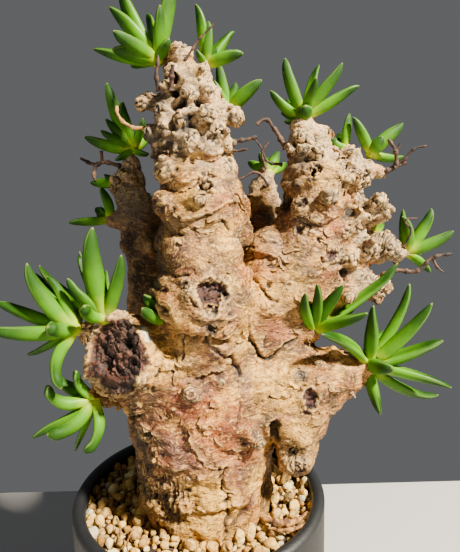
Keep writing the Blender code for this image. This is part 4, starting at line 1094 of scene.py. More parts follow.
# %% Mix the bark's colours from its fields
def bark_finish():
    """Layered bark with wounds, rings, streaks, cracks and a papery grain."""
    made, tree, shader = new_finish("bark_finish", 0.75, 0.35)
    blotch = use_group(tree, BLOTCHES, Size=0.009, Fine_Size=0.0022).outputs
    broad = use_group(tree, BLOTCHES, Size=0.015, Fine_Size=0.004, Shift=2.0).outputs
    speck = use_group(tree, BLOTCHES, Size=0.0016, Fine_Size=0.0007, Shift=4.0).outputs
    mask = {name: read_mask(tree, name) for name in BARK_MASKS}
    bent = bent_place(tree)
    streak = thread_noise(tree, bent, THREADS, 5.0, 0.65)
    hair = thread_noise(tree, bent, HAIRS, 3.0, 0.6)
    split = add(tree, "ShaderNodeTexVoronoi", {"Vector": bent, "Scale": CRACKS}, **EDGE).outputs["Distance"]

    def both(first, second):
        return math_of(tree, "MULTIPLY", first, second)

    def within(name, clouds, low, high):
        """A stored mask, broken up by a band of one of the blotches."""
        return both(mask[name], band(tree, clouds, low, high))

    def waves(name, step):
        """Rings that follow a stored distance, one for each step."""
        return math_of(tree, "SINE", both(mask[name], math.tau / step))

    crackle = both(band(tree, split, 0.05, 0.0), band(tree, blotch["Fine"], 0.5, 0.64))
    onion = both(band(tree, waves("wart", 1.1 / 7), 0.0, -0.9), within("warty", speck["Broad"], 0.4, 0.6))
    # painted shade: hollows below the smoothed skin and the deep parts of the warty zones
    low = band(tree, mask["rise"], -0.6, -2.2)
    painted_hollow_shade = math_of(tree, "MAXIMUM", band(tree, mask["edge"], -0.09, -0.3), low)
    painted_hollow_shade = math_of(tree, "MAXIMUM", painted_hollow_shade, within("warty", mask["rise"], 0.0, -0.9))
    pores = both(band(tree, speck["Fine"], 0.58, 0.66), band(tree, speck["Broad"], 0.42, 0.58))
    rings = both(mask["ringed"], band(tree, waves("ring", RING_STEP), -0.1, -0.9))
    wood = lay_coats(tree, rgb(62, 36, 28), [
        (speck["Broad"], 1, (140, 88, 66), 0.38, 0.62),
        (speck["Fine"], 0.5, (166, 138, 112), 0.6, 0.7),
    ])
    black = lay_coats(tree, rgb(34, 22, 16), [(speck["Fine"], 1, (134, 96, 68), 0.46, 0.62)])
    colour = lay_coats(tree, rgb(132, 96, 56), [
        (blotch["Broad"], 1, (204, 150, 76), 0.4, 0.6),
        (broad["Broad"], 0.7, (238, 202, 122), 0.52, 0.64),
        (broad["Fine"], 0.6, (186, 126, 98), 0.52, 0.62),
        (blotch["Fine"], 0.5, (160, 136, 108), 0.54, 0.64),
        (broad["Broad"], 0.6, (118, 86, 56), 0.47, 0.37),
        (mask["plate"], 0.3, (222, 188, 126), 0.4, 0.9),
        (mask["plate"], 0.35, (132, 108, 86), 0.35, 0.1),
        (mask["lump"], 0.6, (108, 82, 60), 0.48, 0.36),
        (within("ruddy", blotch["Broad"], 0.3, 0.55), 0.85, (178, 96, 66)),
        (within("lilac", broad["Fine"], 0.3, 0.55), 0.8, (152, 124, 120)),
        (within("rusty", blotch["Fine"], 0.36, 0.56), 0.9, (204, 118, 46)),
        (within("creamy", blotch["Fine"], 0.3, 0.6), 0.75, (240, 206, 124)),
        # painted shade: darker tan on the flanks turned away from the lamp
        (within("tanned", broad["Fine"], 0.2, 0.5), 0.75, (150, 110, 70)),
        (streak, 0.6, (104, 74, 48), 0.47, 0.35),
        (streak, 0.45, (242, 212, 150), 0.56, 0.68),
        (within("warty", blotch["Fine"], 0.3, 0.5), 0.75, (216, 198, 170)),
        (mask["crusty"], 0.5, (208, 190, 160)),
        (onion, 0.5, (112, 88, 66)),
        (within("root", mask["fibre"], 0.56, 0.42), 0.7, (92, 66, 56)),
        (within("root", mask["fibre"], 0.5, 0.62), 0.5, (190, 152, 112)),
        (mask["chalky"], 0.8, (232, 230, 220), 0.2, 0.7),
        (hair, 0.65, (88, 62, 42), 0.46, 0.37),
        (hair, 0.4, (244, 218, 166), 0.56, 0.66),
        (mask["edge"], 0.45, (236, 210, 158), 0.08, 0.3),
        (mask["rise"], 0.3, (230, 200, 142), 0.6, 2.0),
        (mask["lip"], 0.45, (222, 190, 136)),
        # painted shade on the shady spots
        (within("shady", blotch["Fine"], 0.2, 0.5), 0.85, (80, 73, 70)),
        # painted shade in the hollows
        (painted_hollow_shade, 0.85, (62, 44, 34)),
        (mask["gap"], 0.85, (66, 48, 38), 0.1, 0.7),
        # painted shadow under curled edges and ledges, and painted shade in the pockets
        (mask["under"], 0.85, (60, 42, 32), 0.2, 0.75),
        (mask["split"], 0.8, (54, 36, 28)),
        (crackle, 0.45, (84, 52, 34)),
        (pores, 0.5, (78, 50, 34)),
        # painted shade, near black, in the pits and the deep pockets
        (mask["pitted"], 0.85, (44, 28, 20)),
        (within("ringed", speck["Broad"], 0.4, 0.62), 0.6, (206, 188, 156)),
        # painted shade of the shady spots laid again over the ringed buttons there, which greys them
        (both(mask["ringed"], mask["shady"]), 0.75, (112, 106, 100)),
        (rings, 0.75, (88, 68, 52)),
        (within("collar", blotch["Fine"], 0.4, 0.56), 0.75, (224, 198, 156)),
        (within("collar", speck["Broad"], 0.52, 0.62), 0.8, (60, 36, 26)),
        (mask["wound"], 1, wood),
        (mask["crater"], 0.94, black),
    ])
    tree.links.new(colour, shader.inputs["Base Color"])
    papery = both(band(tree, blotch["Broad"], 0.4, 0.7), -0.2)
    tree.links.new(math_of(tree, "ADD", papery, 0.66), shader.inputs["Roughness"])

    grit = use_group(tree, GRIT, Size=0.0009, Pits=0.4)
    threads = math_of(tree, "ADD", both(streak, 0.8), both(hair, 0.5))
    worn = math_of(tree, "ADD", both(grit.outputs["Height"], 0.22), threads)
    fine = add(tree, "ShaderNodeBump", {"Height": worn, "Distance": 0.0014, "Strength": 0.8})
    cracked = add(tree, "ShaderNodeBump", {"Height": crackle, "Distance": 0.0005, "Strength": 0.7,
                                           "Normal": fine.outputs["Normal"]}, invert=True)
    tree.links.new(cracked.outputs["Normal"], shader.inputs["Normal"])
    return made


bark_skin.data.materials.clear()
bark_skin.data.materials.append(bark_finish())
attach(bark_skin, "root")
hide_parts("caudex")
print("bark finish:", len(bark_skin.data.materials[0].node_tree.nodes), "nodes")


# %% [markdown]
# ## Peeling edges
# Where a layer of dry skin ends, its edge comes loose and curls off, thin as paper. A moved
# skin can't show that, since it has no underside. So the edge lines are traced where the
# peel field crosses its levels, and along the loose ones a thin torn ribbon is laid: it
# starts under the skin, follows it to the edge and stands off beyond it. The same maker
# lays the long ledges that were listed.


# %% Trace the lines where a field crosses a level
def chains(joined):
    """Walk through joined pairs from end to end, until all are used."""
    left = set(joined)
    while left:
        chain = [left.pop()]
        for backwards in (False, True):
            while True:
                following = [key for key in joined[chain[-1]] if key in left]
                if not following:
                    break
                chain.append(following[0])
                left.remove(following[0])
            if not backwards:
                chain.reverse()
        yield chain


def level_lines(mesh, values, level):
    """Lines of (place, normal, way into the higher side) where the values cross a level, in millimetres."""
    places, normals = points_of(mesh)
    corners = np.empty(len(mesh.polygons) * 3, np.int32)
    mesh.polygons.foreach_get("vertices", corners)
    corners = corners.reshape(-1, 3)
    high = values > level
    crossed = corners[high[corners].any(axis=1) & ~high[corners].all(axis=1)]
    joined = {}
    for a, b, c in crossed.tolist():
        ends = [tuple(sorted(pair)) for pair in ((a, b), (b, c), (c, a)) if high[pair[0]] != high[pair[1]]]
        joined.setdefault(ends[0], []).append(ends[1])
        joined.setdefault(ends[1], []).append(ends[0])
    for chain in chains(joined):
        low, top = np.array(chain).T
        uphill = places[top] - places[low]
        share = ((level - values[low]) / (values[top] - values[low]))[:, None]
        facing = np.where(values[top] > values[low], 1, -1)[:, None]
        yield places[low] + share * uphill, normals[low] + normals[top], uphill * facing


print("edges are traced at the peel levels", PEEL_LEVELS)


# %% Lay a torn ribbon along a line
FLAKE_THICKNESS = 0.16
# Across a ribbon: how far into the bark, how high above it, and how free, from root to rim
FLAKE_COLUMNS = [(1.1, -0.25, 0.0), (0.4, 0.16, 0.3), (-0.35, 0.34, 0.7), (-1.0, 0.62, 1.0)]


def evened(line, rounds):
    """Average each point with its neighbours, ends kept."""
    for _ in range(rounds):
        line = np.vstack([line[:1], (line[:-2] + 2 * line[1:-1] + line[2:]) / 4, line[-1:]])
    return line


def unit(vectors):
    """Vectors at length one."""
    return vectors / np.maximum(np.linalg.norm(vectors, axis=1), 1e-9)[:, None]


def add_flake(place, normal, into, width, lift, book):
    """A thin closed ribbon whose free edge hangs over; its points and faces go into the book."""
    count = len(place)
    share = np.linspace(0, 1, count)
    fade = np.clip(np.minimum(share, 1 - share) * 5, 0, 1)[:, None]
    coarse = np.array([noise.noise(Vector(spot) / 2.2) for spot in place])
    fine = np.array([noise.noise(Vector(spot) / 0.7) for spot in place])
    torn = np.clip(0.75 + 0.7 * coarse + 0.5 * fine, 0.15, 1.5)[:, None] * fade
    points, faces, edge = book
    start = len(points)
    rows = []
    for far, high, free in FLAKE_COLUMNS:
        reach = far if far > 0 else far * width * torn
        stand = high + (lift * free ** 2 * torn if free > 0.3 else 0)
        rows.append((place + into * reach + normal * stand, free))
    layers = rows + [(spots - normal * FLAKE_THICKNESS, free) for spots, free in reversed(rows)]
    for spots, free in layers:
        points += [Vector(spot) for spot in spots]
        edge += [free] * count
    around = len(layers)
    for row in range(around):
        after = (row + 1) % around
        for k in range(count - 1):
            a, b = start + row * count + k, start + after * count + k
            faces.append((a, a + 1, b + 1, b))
    faces.append(tuple(start + row * count for row in range(around)))
    faces.append(tuple(start + row * count + count - 1 for row in reversed(range(around))))


print("a ribbon has", len(FLAKE_COLUMNS), "columns on each side")

# %% Which stretches of a line have come loose
LOOSE_ABOVE = 0.34
SHORTEST_RUN, LONGEST_RUN = 8, 40


def sideways(place, normal):
    """The way across a line that lies in the bark."""
    along = unit(np.gradient(place, axis=0))
    return unit(np.cross(along, normal))


def loose_runs(line, chance):
    """Cut a line into the runs where the edge has come loose."""
    place, normal, uphill = line
    if len(place) < 12:
        return
    place, normal = evened(place, 5), unit(evened(normal, 8))
    into = sideways(place, normal)
    into *= np.where((into * uphill).sum(axis=1).mean() > 0, 1, -1)
    keep = [noise.noise(Vector(p) / 11) + 0.3 * way[2] > LOOSE_ABOVE for p, way in zip(place, into)]
    first = None
    for k, kept in enumerate(keep + [False]):
        if kept and first is None:
            first = k
        if first is not None and (not kept or k - first > LONGEST_RUN):
            if k - first > SHORTEST_RUN:
                run = slice(first, k, 2)
                size = chance.random() ** 2
                yield place[run], normal[run], into[run], 0.6 + 1.5 * size, 0.2 + 1.0 * size
            first = None


def ledge_run(line, search):
    """A listed ledge laid on the bark: points every half millimetre with their normals."""
    spots = [Vector(spot) for spot in line]
    places, normals = [], []
    for a, b in zip(spots[:-1], spots[1:]):
        steps = max(1, int((b - a).length / 0.5))
        for k in range(steps):
            spot = a + (b - a) * k / steps
            wander = Vector((0, 0, 1.3 * noise.noise(spot / 3.5)))
            hit = search.find_nearest((spot + wander) * MM)
            places.append(hit[0] / MM)
            normals.append(hit[1])
    places, normals = evened(np.array(places), 4), unit(evened(np.array(normals), 8))
    into = sideways(places, normals)
    into *= 1 if into[:, 2].mean() > 0 else -1
    return places, normals, into


print("a loose run has", SHORTEST_RUN, "to", LONGEST_RUN, "points")

# %% All ribbons as one piece
flake_chance = random.Random(5)
flakes = ([], [], [])
peel = read(bark_skin.data, "peel")
for level in PEEL_LEVELS:
    for line in level_lines(bark_skin.data, peel, level):
        for run in loose_runs(line, flake_chance):
            add_flake(*run, flakes)
bark_search = BVHTree.FromObject(bark_skin, bpy.context.evaluated_depsgraph_get())
for line, lift in LEDGES:
    add_flake(*ledge_run(line, bark_search), 1.0 + 0.7 * lift, 0.5 + 0.5 * lift, flakes)
flake_mesh = bpy.data.meshes.new("bark_flakes")
flake_mesh.from_pydata([point * MM for point in flakes[0]], [], flakes[1])
flake_mesh.update()
store(flake_mesh, "lip", np.array(flakes[2]) * 0.8)
store_regions(flake_mesh)
bark_flakes = new_piece("bark_flakes", flake_mesh)
bark_flakes.data.materials.append(bark_skin.data.materials[0])
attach(bark_flakes, "root")
print("bark flakes:", len(flake_mesh.polygons), "faces")


# %% [markdown]
# ## The sawn stub
# One arm was cut off long ago. Its end is bare wood, nearly black where it rots, red-brown
# where it is sound, with deep holes, and the bark has rolled over its rim. The rim is
# already part of the skin. The wood is a disc of its own: rings of points whose height comes
# from broken blocks of two sizes, each a cell with its own level and lean.

# %% The height of the wood
WOOD_RINGS = 48
WOOD_SPOKES = 140
WOOD_LEVEL = -1.6
# Holes in the face: right, up, radius and depth
WOOD_HOLES = [(4.4, 5.0, 2.2, 3.4), (-3.4, -4.4, 3.0, 3.2), (8.4, -1.5, 1.6, 2.4), (-7.4, 2.0, 1.7, 1.8)]


def sway(spot):
    """A slow sideways push that is the same on every run, as noise_vector's is not."""
    aside, upward = spot + Vector((9.3, 1.5, 7.9)), spot + Vector((6.3, -0.2, -2.7))
    return Vector((noise.noise(aside), noise.noise(upward), 0))


def block(flat, size):
    """Broken wood: the height of the block at a spot, and how near the gap to the next one is."""
    spot = (flat + 1.6 * sway(flat / 3.0)) / size
    near, spots = noise.voronoi(spot)
    lean = 1.4 * (spot - spots[0]).dot(noise.cell_vector(spots[0] * 3.1))
    return noise.cell(spots[0] * 7.3) * 0.5 + 0.7 * lean, max(0, 1 - (near[1] - near[0]) / 0.22)


def wood_height(x, y, reach):
    """How high the wood stands at a spot of the face, in millimetres."""
    flat = Vector((x, y, 0))
    big, big_gap = block(flat, 7.5)
    small, _ = block(flat + Vector((40, 10, 0)), 3.6)
    high = 1.3 * big + 0.15 * small - 0.4 * big_gap
    high += 0.8 * noise.noise(flat / 2.4) + 0.4 * noise.noise(flat / 0.8)
    for hole_x, hole_y, radius, depth in WOOD_HOLES:
        near = math.hypot(x - hole_x, y - hole_y) / radius + 0.5 * noise.noise(flat / 1.3)
        high -= depth * max(0, min(1, 1.3 - near))
    return high - 0.3 * max(0, reach / STUB_RADIUS - 0.8) / 0.2


print("the wood's middle stands", round(wood_height(0, 0, 0), 2), "mm above its level")


# %% The wood disc
def build_wood():
    """A rough disc with holes, closed at the back by a blunt cone."""
    facing, right, up = stub_axes()
    middle = Vector(STUB_MIDDLE)
    points, heights, faces = [], [], []
    for ring in range(WOOD_RINGS + 1):
        reach = STUB_RADIUS * (ring / WOOD_RINGS) ** 0.7
        for spoke in range(WOOD_SPOKES):
            turn = math.tau * spoke / WOOD_SPOKES
            x, y = reach * math.cos(turn) * 0.98, reach * math.sin(turn) * 1.2
            high = wood_height(x, y, reach)
            heights.append(high)
            points.append(middle + right * x + up * y + facing * (WOOD_LEVEL + high))
    for ring in range(WOOD_RINGS):
        for spoke in range(WOOD_SPOKES):
            after = (spoke + 1) % WOOD_SPOKES
            a, b = ring * WOOD_SPOKES, (ring + 1) * WOOD_SPOKES
            faces.append((a + spoke, b + spoke, b + after, a + after))
    tip, rim = len(points), WOOD_RINGS * WOOD_SPOKES
    points.append(middle - facing * 8)
    heights.append(-3.0)
    faces += [(rim + k, tip, rim + (k + 1) % WOOD_SPOKES) for k in range(WOOD_SPOKES)]
    mesh = bpy.data.meshes.new("stub_wood")
    mesh.from_pydata([point * MM for point in points], [], faces)
    store(mesh, "high", heights)
    with editing(mesh) as bm:
        bmesh.ops.remove_doubles(bm, verts=bm.verts, dist=1e-6)
        bmesh.ops.recalc_face_normals(bm, faces=bm.faces)
    smooth_shading(mesh)
    return new_piece("stub_wood", mesh)


def wood_finish():
    """Old bare wood: black in the hollows, red-brown on the crests, with ashy threads."""
    made, tree, shader = new_finish("wood_finish", 0.85)
    fine = use_group(tree, BLOTCHES, Size=0.005, Fine_Size=0.001).outputs["Fine"]
    wander = math_of(tree, "MULTIPLY", math_of(tree, "SUBTRACT", fine, 0.5), 1.6)
    level = math_of(tree, "ADD", read_mask(tree, "high"), wander)
    ash = math_of(tree, "MULTIPLY", band(tree, fine, 0.58, 0.68), band(tree, level, -0.3, 0.6))
    colour = lay_coats(tree, rgb(26, 17, 12), [
        (level, 1, (106, 68, 48), -2.7, -1.0),
        (level, 1, (150, 100, 74), -0.5, 1.0),
        (ash, 0.6, (186, 164, 138)),
    ])
    close_finish(tree, shader, colour, 0.0008, 0.8, 0.0005, 0.8)
    return made


stub_wood = build_wood()
stub_wood.data.materials.append(wood_finish())
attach(stub_wood, "root")
print("stub wood:", len(stub_wood.data.polygons), "faces")


# %% [markdown]
# ## Leaves: plump fingers in rosettes
# The leaves are thick and juicy, widest past the middle, with a shallow channel along the
# face that looks to the middle of the rosette and a pointed or blunt tip. A leaf could be a
# stretched sphere, but then all would be alike and none would have a channel. Instead one
# function walks along a leaf's middle line, turns as it goes and puts a shaped ring at each
# step. Each ring knows how far along and which way up it is, which the finish needs later.

# %% Where each rosette sits and how its leaves stand
# Each leaf: turn from up towards +X, lean to the front, length, thickness, bend (degrees, mm)
ROSETTES = {
    "crown_left": ((-10, -8, 294), [
        (-84, 35, 19, 5.5, -8), (-78, 0, 26, 4.4, 8), (-40, 10, 26, 5.4, -5), (-25, 0, 32, 6.4, 5),
        (17, 5, 31, 6.0, 8), (10, 25, 20, 4.4, 0), (-11, -30, 27, 4.2, 0), (-66, 45, 22, 4.6, 0),
        (46, 40, 11, 4.0, 10), (-96, -14, 12, 4.0, -20), (-30, -62, 24, 5, 0), (24, -58, 22, 5, 0),
    ]),
    "crown_right": ((10, -4, 293), [
        (-6, 6, 23, 4.4, -6), (6, 10, 16, 4.2, 5), (36, -20, 20, 4.4, 5), (77, 15, 16, 4.6, 8),
        (20, -60, 18, 4.4, 0), (-40, 30, 7, 3, 0),
    ]),
    "behind_main": ((19, 10, 277), [
        (-12, 0, 21, 4, 6), (-30, 20, 14, 3.8, 10), (17, 0, 12, 3.8, 0), (51, 10, 19, 4.9, 8),
        (40, -55, 20, 4.4, 0), (-10, -65, 18, 4.4, 0),
    ]),
    "right_top": ((52, 8, 273), [
        (-20, 0, 26, 4.6, 4), (18, -25, 29, 3.6, 0), (18, 35, 18, 3.8, 6), (40, 10, 27, 4.6, 4),
        (61, 5, 27, 4.4, -6), (-54, 10, 19, 3.8, 22), (-9, 70, 9, 5.6, 0), (-35, -35, 14, 3.4, 0),
        (-104, 5, 9, 3.4, 10), (30, -62, 22, 4.4, 0), (-60, -58, 18, 4.2, 0),
    ]),
    "right_upper": ((82, 6, 256), [
        (-28, 5, 18, 4, -4), (50, 0, 19, 4.6, 10), (30, 30, 9, 4.6, 0), (97, -20, 18, 3.6, -10),
        (20, -58, 18, 4.2, 0), (70, -60, 17, 4.2, 0),
    ]),
    "right_upper_in": ((71, 8, 259), [(-57, 5, 9, 3.8, 40), (6, 0, 15, 3.6, 10), (-10, -50, 12, 3.6, 0)]),
    "right_mid_in": ((86, 12, 220), [
        (-30, -6, 12, 3.8, -4), (2, 4, 11, 3.6, 0), (26, -10, 11, 3.6, 6), (60, -55, 15, 4, 0),
    ]),
    "right_far": ((100, 8, 211), [
        (-9, 10, 18, 4.4, -22), (33, 0, 23, 4.4, -8), (68, 5, 23, 4.6, -8), (129, 0, 16, 3.8, 12),
        (10, -35, 24, 4.6, -4), (60, -60, 20, 4.4, 0), (100, -45, 16, 4, 0),
    ]),
    "right_fork": ((54, -8, 179), [
        (-18, 34, 25, 4, 14), (0, 30, 27, 4, -6), (26, 24, 27, 4.2, 10), (48, -28, 33, 4, 10),
        (57, -8, 49, 4.2, -3), (76, -34, 28, 3.6, 0), (62, 34, 27, 4.8, 6),
    ]),
    "right_low": ((78, -10, 163), [
        (-49, 30, 38, 4.6, -22), (-2, 15, 30, 5, -18), (9, -16, 24, 4, 0), (30, -5, 41, 4.6, -14),
        (41, 12, 39, 4.6, -10), (70, 5, 34, 5.6, -6), (60, 62, 16, 6, 0), (102, 14, 36, 5, 8),
        (120, -5, 39, 4.8, -14), (170, 25, 22, 5.4, 4), (60, -52, 30, 5, 0), (110, -50, 26, 5, 0),
    ]),
    "stub_upper": ((-33, -28, 192), [
        (-5, 5, 37, 6.2, 10), (21, 10, 28, 4.4, -4), (-26, -20, 30, 3.4, 0), (-37, 15, 22, 4, 0),
        (-56, -12, 36, 4.2, 6), (-29, 50, 16, 4, 60), (-9, -38, 22, 3.8, 0), (10, -55, 22, 4.6, 0),
    ]),
    "stub_left": ((-45, -29, 188), [
        (-30, 12, 33, 5.4, 18), (-20, 0, 24, 3.8, -6), (-41, -22, 32, 3.6, 0), (-68, 0, 33, 4.2, 8),
        (-86, 15, 31, 5.2, 10), (-118, 0, 23, 3.2, 0), (-62, -35, 30, 3.6, 0), (-60, 52, 14, 4.6, 30),
        (-165, 18, 26, 4.2, -40), (-80, -60, 26, 4.6, 0), (-30, -62, 24, 4.6, 0),
    ]),
    "stub_low": ((-41, -24, 156), [
        (-20, 22, 18, 3.8, 30), (-56, 26, 26, 4.2, 60), (-117, 10, 30, 3.8, 10), (-122, 32, 24, 4.8, 36),
        (-154, -10, 30, 3.2, 0), (185, 26, 23, 4.4, 36), (-80, -35, 26, 4.4, 10), (-60, -8, 20, 3.8, 30),
        (-110, -58, 24, 4.4, 0),
    ]),
    "left_back_top": ((-27, 20, 262), [
        (-20, 0, 32, 5, 8), (-12, 5, 22, 4, 0), (-75, 5, 23, 5.2, 10), (-40, 12, 18, 3.6, 0),
        (-60, 26, 17, 3.4, 0), (24, 0, 15, 3.6, 0), (-124, 30, 11, 3.4, 0), (110, 20, 9, 3.4, 0),
        (-50, -50, 24, 4.6, 0), (30, -58, 22, 4.6, 0), (-5, -60, 24, 4.6, 0),
    ]),
    "left_back_a": ((-36, 18, 246), [(-86, 0, 12, 3.6, 0), (-60, -50, 12, 3.6, 0)]),
    "left_back_b": ((-40, 18, 229), [(-13, 0, 16, 4.4, -20), (-91, 10, 19, 3.8, 0), (-60, -45, 16, 4, 0)]),
    "crotch": ((-10, -22, 189), [(-33, 20, 15, 4, -10), (-45, 48, 16, 4, 20)]),
    "back_top": ((39, 42, 251), [
        (-24, -10, 11, 3.6, 0), (30, -20, 13, 4, 0), (0, -60, 18, 4.4, 0), (70, -50, 18, 4.4, 0),
        (-60, -50, 18, 4.4, 0), (40, -75, 16, 4.2, 0),
    ]),
    "back_low": ((-3, 61, 196), [
        (0, -10, 22, 4.8, 0), (-50, -20, 24, 4.8, 0), (50, -20, 24, 4.8, 0), (-20, -55, 28, 5, 0),
        (30, -60, 28, 5, 0), (-90, -50, 22, 4.6, 0), (95, -45, 22, 4.6, 0), (180, -50, 20, 4.6, 0),
    ]),
}
print(len(ROSETTES), "rosettes,", sum(len(leaves) for _, leaves in ROSETTES.values()), "leaves")

# %% One leaf as rings along a turning line
LEAF_RINGS = 20
LEAF_SIDES = 14
PLUMP = 1.18
LEAF_ROOT = 2.0
HOOKED_FROM = 30
# Width along a leaf, as a share of its thickness
LEAF_WIDTHS = [(-0.1, 0.5), (0, 0.66), (0.12, 0.88), (0.28, 1.0), (0.42, 1.04), (0.56, 1.0), (0.7, 0.88),
               (0.82, 0.68), (0.9, 0.48), (0.95, 0.32), (0.985, 0.16), (1.0, 0.03)]


def heading(turn, lean):
    """Direction of a leaf from its turn in the front plane and its lean to the front."""
    turn, lean = math.radians(turn), math.radians(lean)
    flat = math.cos(lean)
    return Vector((math.sin(turn) * flat, -math.sin(lean), math.cos(turn) * flat))


def inward(axis, way, twist):
    """The way from a leaf's middle line to the rosette's middle, twisted round the leaf."""
    inner = axis - way * axis.dot(way)
    if inner.length < 0.2:
        inner = Vector((0, 0, 1)) - way * way.z
    inner.normalize()
    inner.rotate(Matrix.Rotation(twist, 3, way))
    return inner


def leaf_rings(base, values, axis, chance):
    """Rings of (place, along, upper, side) for one leaf that starts LEAF_ROOT behind its base."""
    turn, lean, length, thickness, bend = values
    hooked = abs(bend) >= HOOKED_FROM
    sag = chance.uniform(-3, 3)
    twist = math.radians(chance.uniform(-14, 14))
    groove = chance.uniform(0.12, 0.24)
    tip = chance.uniform(-24, 24)
    blunt = chance.uniform(0, 0.1) + 0.25 * hooked
    at, last, rings = Vector(base), 0.0, []
    for step in range(LEAF_RINGS + 1):
        share = step / LEAF_RINGS
        t = -LEAF_ROOT / length + (1 + LEAF_ROOT / length) * (1 - (1 - share) ** 1.35)
        hook = -0.55 + 1.75 * max(t - 0.35, 0) / 0.65 if hooked else 2 * max(t, 0) - 1
        curl = tip * (max(t - 0.7, 0) / 0.3) ** 1.5
        way = heading(turn + bend * hook + curl, lean + sag * max(t, 0))
        at = at + way * (length * (t - last))
        last = t
        inner = inward(axis, way, twist)
        across = way.cross(inner)
        width = np.interp(t, [w[0] for w in LEAF_WIDTHS], [w[1] for w in LEAF_WIDTHS])
        width += blunt * math.exp(-(((t - 0.88) / 0.1) ** 2))
        channel = groove * min(1, max(0, t / 0.2)) * min(1, (1 - t) / 0.2)
        ring = []
        for k in range(LEAF_SIDES):
            spin = math.tau * k / LEAF_SIDES
            upper, side = math.cos(spin), math.sin(spin)
            high = upper * (0.5 if upper < 0 else 0.46 - channel * (0.6 + 1.2 * upper ** 4))
            keel = -0.05 * math.exp(-(((spin - math.pi) / 0.5) ** 2))
            out = inner * (high + keel) + across * side * 0.56
            ring.append((at + out * PLUMP * thickness * width, t, upper, abs(side)))
        rings.append(ring)
    return rings


def add_leaf(rings, tone, points, faces, notes):
    """Skin the rings, close both ends and note each point's values."""
    start = len(points)
    for ring in rings:
        for place, along, upper, side in ring:
            points.append(place * MM)
            notes.append((along, upper, side, tone))
    for row in range(len(rings) - 1):
        for k in range(LEAF_SIDES):
            j = (k + 1) % LEAF_SIDES
            low, high = start + row * LEAF_SIDES, start + (row + 1) * LEAF_SIDES
            faces.append((low + k, low + j, high + j, high + k))
    faces.append(tuple(start + k for k in reversed(range(LEAF_SIDES))))
    faces.append(tuple(start + (len(rings) - 1) * LEAF_SIDES + k for k in range(LEAF_SIDES)))


print("a leaf has", LEAF_RINGS + 1, "rings of", LEAF_SIDES, "points")

# %% [markdown]
# Between the big leaves of a rosette stand a few very young ones, upright round the growing
# point. They are added by rule: a small spiral of short fingers that follows the mean
# direction of the rosette, which also hides where the big leaves meet.


# %% Build each rosette as one piece
def rosette_axis(leaves):
    """The way a rosette looks: the mean direction of its leaves."""
    total = Vector((0, 0, 0))
    for turn, lean, length, _, _ in leaves:
        total += heading(turn, lean) * length
    return total.normalized()


def build_rosette(name, base, leaves, chance):
    """All leaves of one rosette and its young middle, in one mesh."""
    points, faces, notes = [], [], []
    axis = rosette_axis(leaves)
    for values in leaves:
        add_leaf(leaf_rings(base, values, axis, chance), chance.random(), points, faces, notes)
    young = 4 if len(leaves) > 5 else 2
    for k in range(young):
        spread = Matrix.Rotation(2.4 * k, 3, axis) @ axis.orthogonal().normalized()
        way = (axis + spread * (0.25 + 0.12 * k)).normalized()
        turn = math.degrees(math.atan2(way.x, way.z))
        lean = math.degrees(-math.asin(max(-1, min(1, way.y))))
        values = (turn, lean, chance.uniform(5, 9), chance.uniform(1.9, 2.6), 0)
        add_leaf(leaf_rings(base, values, axis, chance), 0.9, points, faces, notes)
    mesh = bpy.data.meshes.new("leaves_" + name)
    mesh.from_pydata(points, [], faces)
    mesh.update()
    with editing(mesh) as bm:
        bmesh.ops.recalc_face_normals(bm, faces=bm.faces)
    for index, label in enumerate(("along", "upper", "side", "tone")):
        store(mesh, label, [note[index] for note in notes])
    smooth_shading(mesh)
    return new_piece("leaves_" + name, mesh)


print("the crown's left rosette looks along", [round(v, 2) for v in rosette_axis(ROSETTES["crown_left"][1])])


# %% [markdown]
# ## The leaf's finish
# A healthy leaf is bright yellow-green where it is young, near its base, and turns bluish
# and deeper towards the tip. The face that looks outwards carries a thin grey bloom, the
# channel is darker, and the two edges catch a pale line. The skin is satin, and some light
# passes through the flesh, so a little subsurface light goes in the shader itself.


# %% Leaf colours from along, upper, side and tone
def leaf_finish():
    """Satin green that shifts along and round each leaf."""
    made, tree, shader = new_finish("leaf_finish", 0.36, 0.15)
    along, upper, side, tone = (read_mask(tree, name) for name in ("along", "upper", "side", "tone"))

    def both(first, second):
        return math_of(tree, "MULTIPLY", first, second)

    cloud = use_group(tree, BLOTCHES, Size=0.006, Fine_Size=0.0012).outputs["Broad"]
    place = math_of(tree, "ADD", along, both(math_of(tree, "SUBTRACT", cloud, 0.5), 0.35))
    bloom = both(band(tree, upper, 0.1, -0.9), band(tree, place, 0.15, 0.75))
    rim = both(band(tree, side, 0.92, 1.0), band(tree, place, 0.35, 0.9))
    colour = lay_coats(tree, rgb(208, 222, 2), [
        (place, 1, (130, 182, 0), 0.0, 0.34),
        (place, 1, (62, 114, 8), 0.34, 0.85),
        (tone, 0.55, (72, 120, 4)),
        (bloom, 0.2, (84, 130, 56)),
        (upper, 0.4, (46, 92, 30), 0.82, 0.98),
        (rim, 0.4, (160, 190, 116)),
        (along, 0.6, (168, 170, 110), 0.97, 1.0),
    ])
    gloss = math_of(tree, "ADD", both(bloom, 0.18), both(tone, 0.2))
    tree.links.new(math_of(tree, "ADD", gloss, 0.34), shader.inputs["Roughness"])
    shader.inputs["Subsurface Weight"].default_value = 0.08
    shader.inputs["Subsurface Radius"].default_value = (0.5, 1.0, 0.2)
    shader.inputs["Subsurface Scale"].default_value = 0.0025
    close_finish(tree, shader, colour, 0.0006, 0.3, 0.0001, 0.25)
    return made


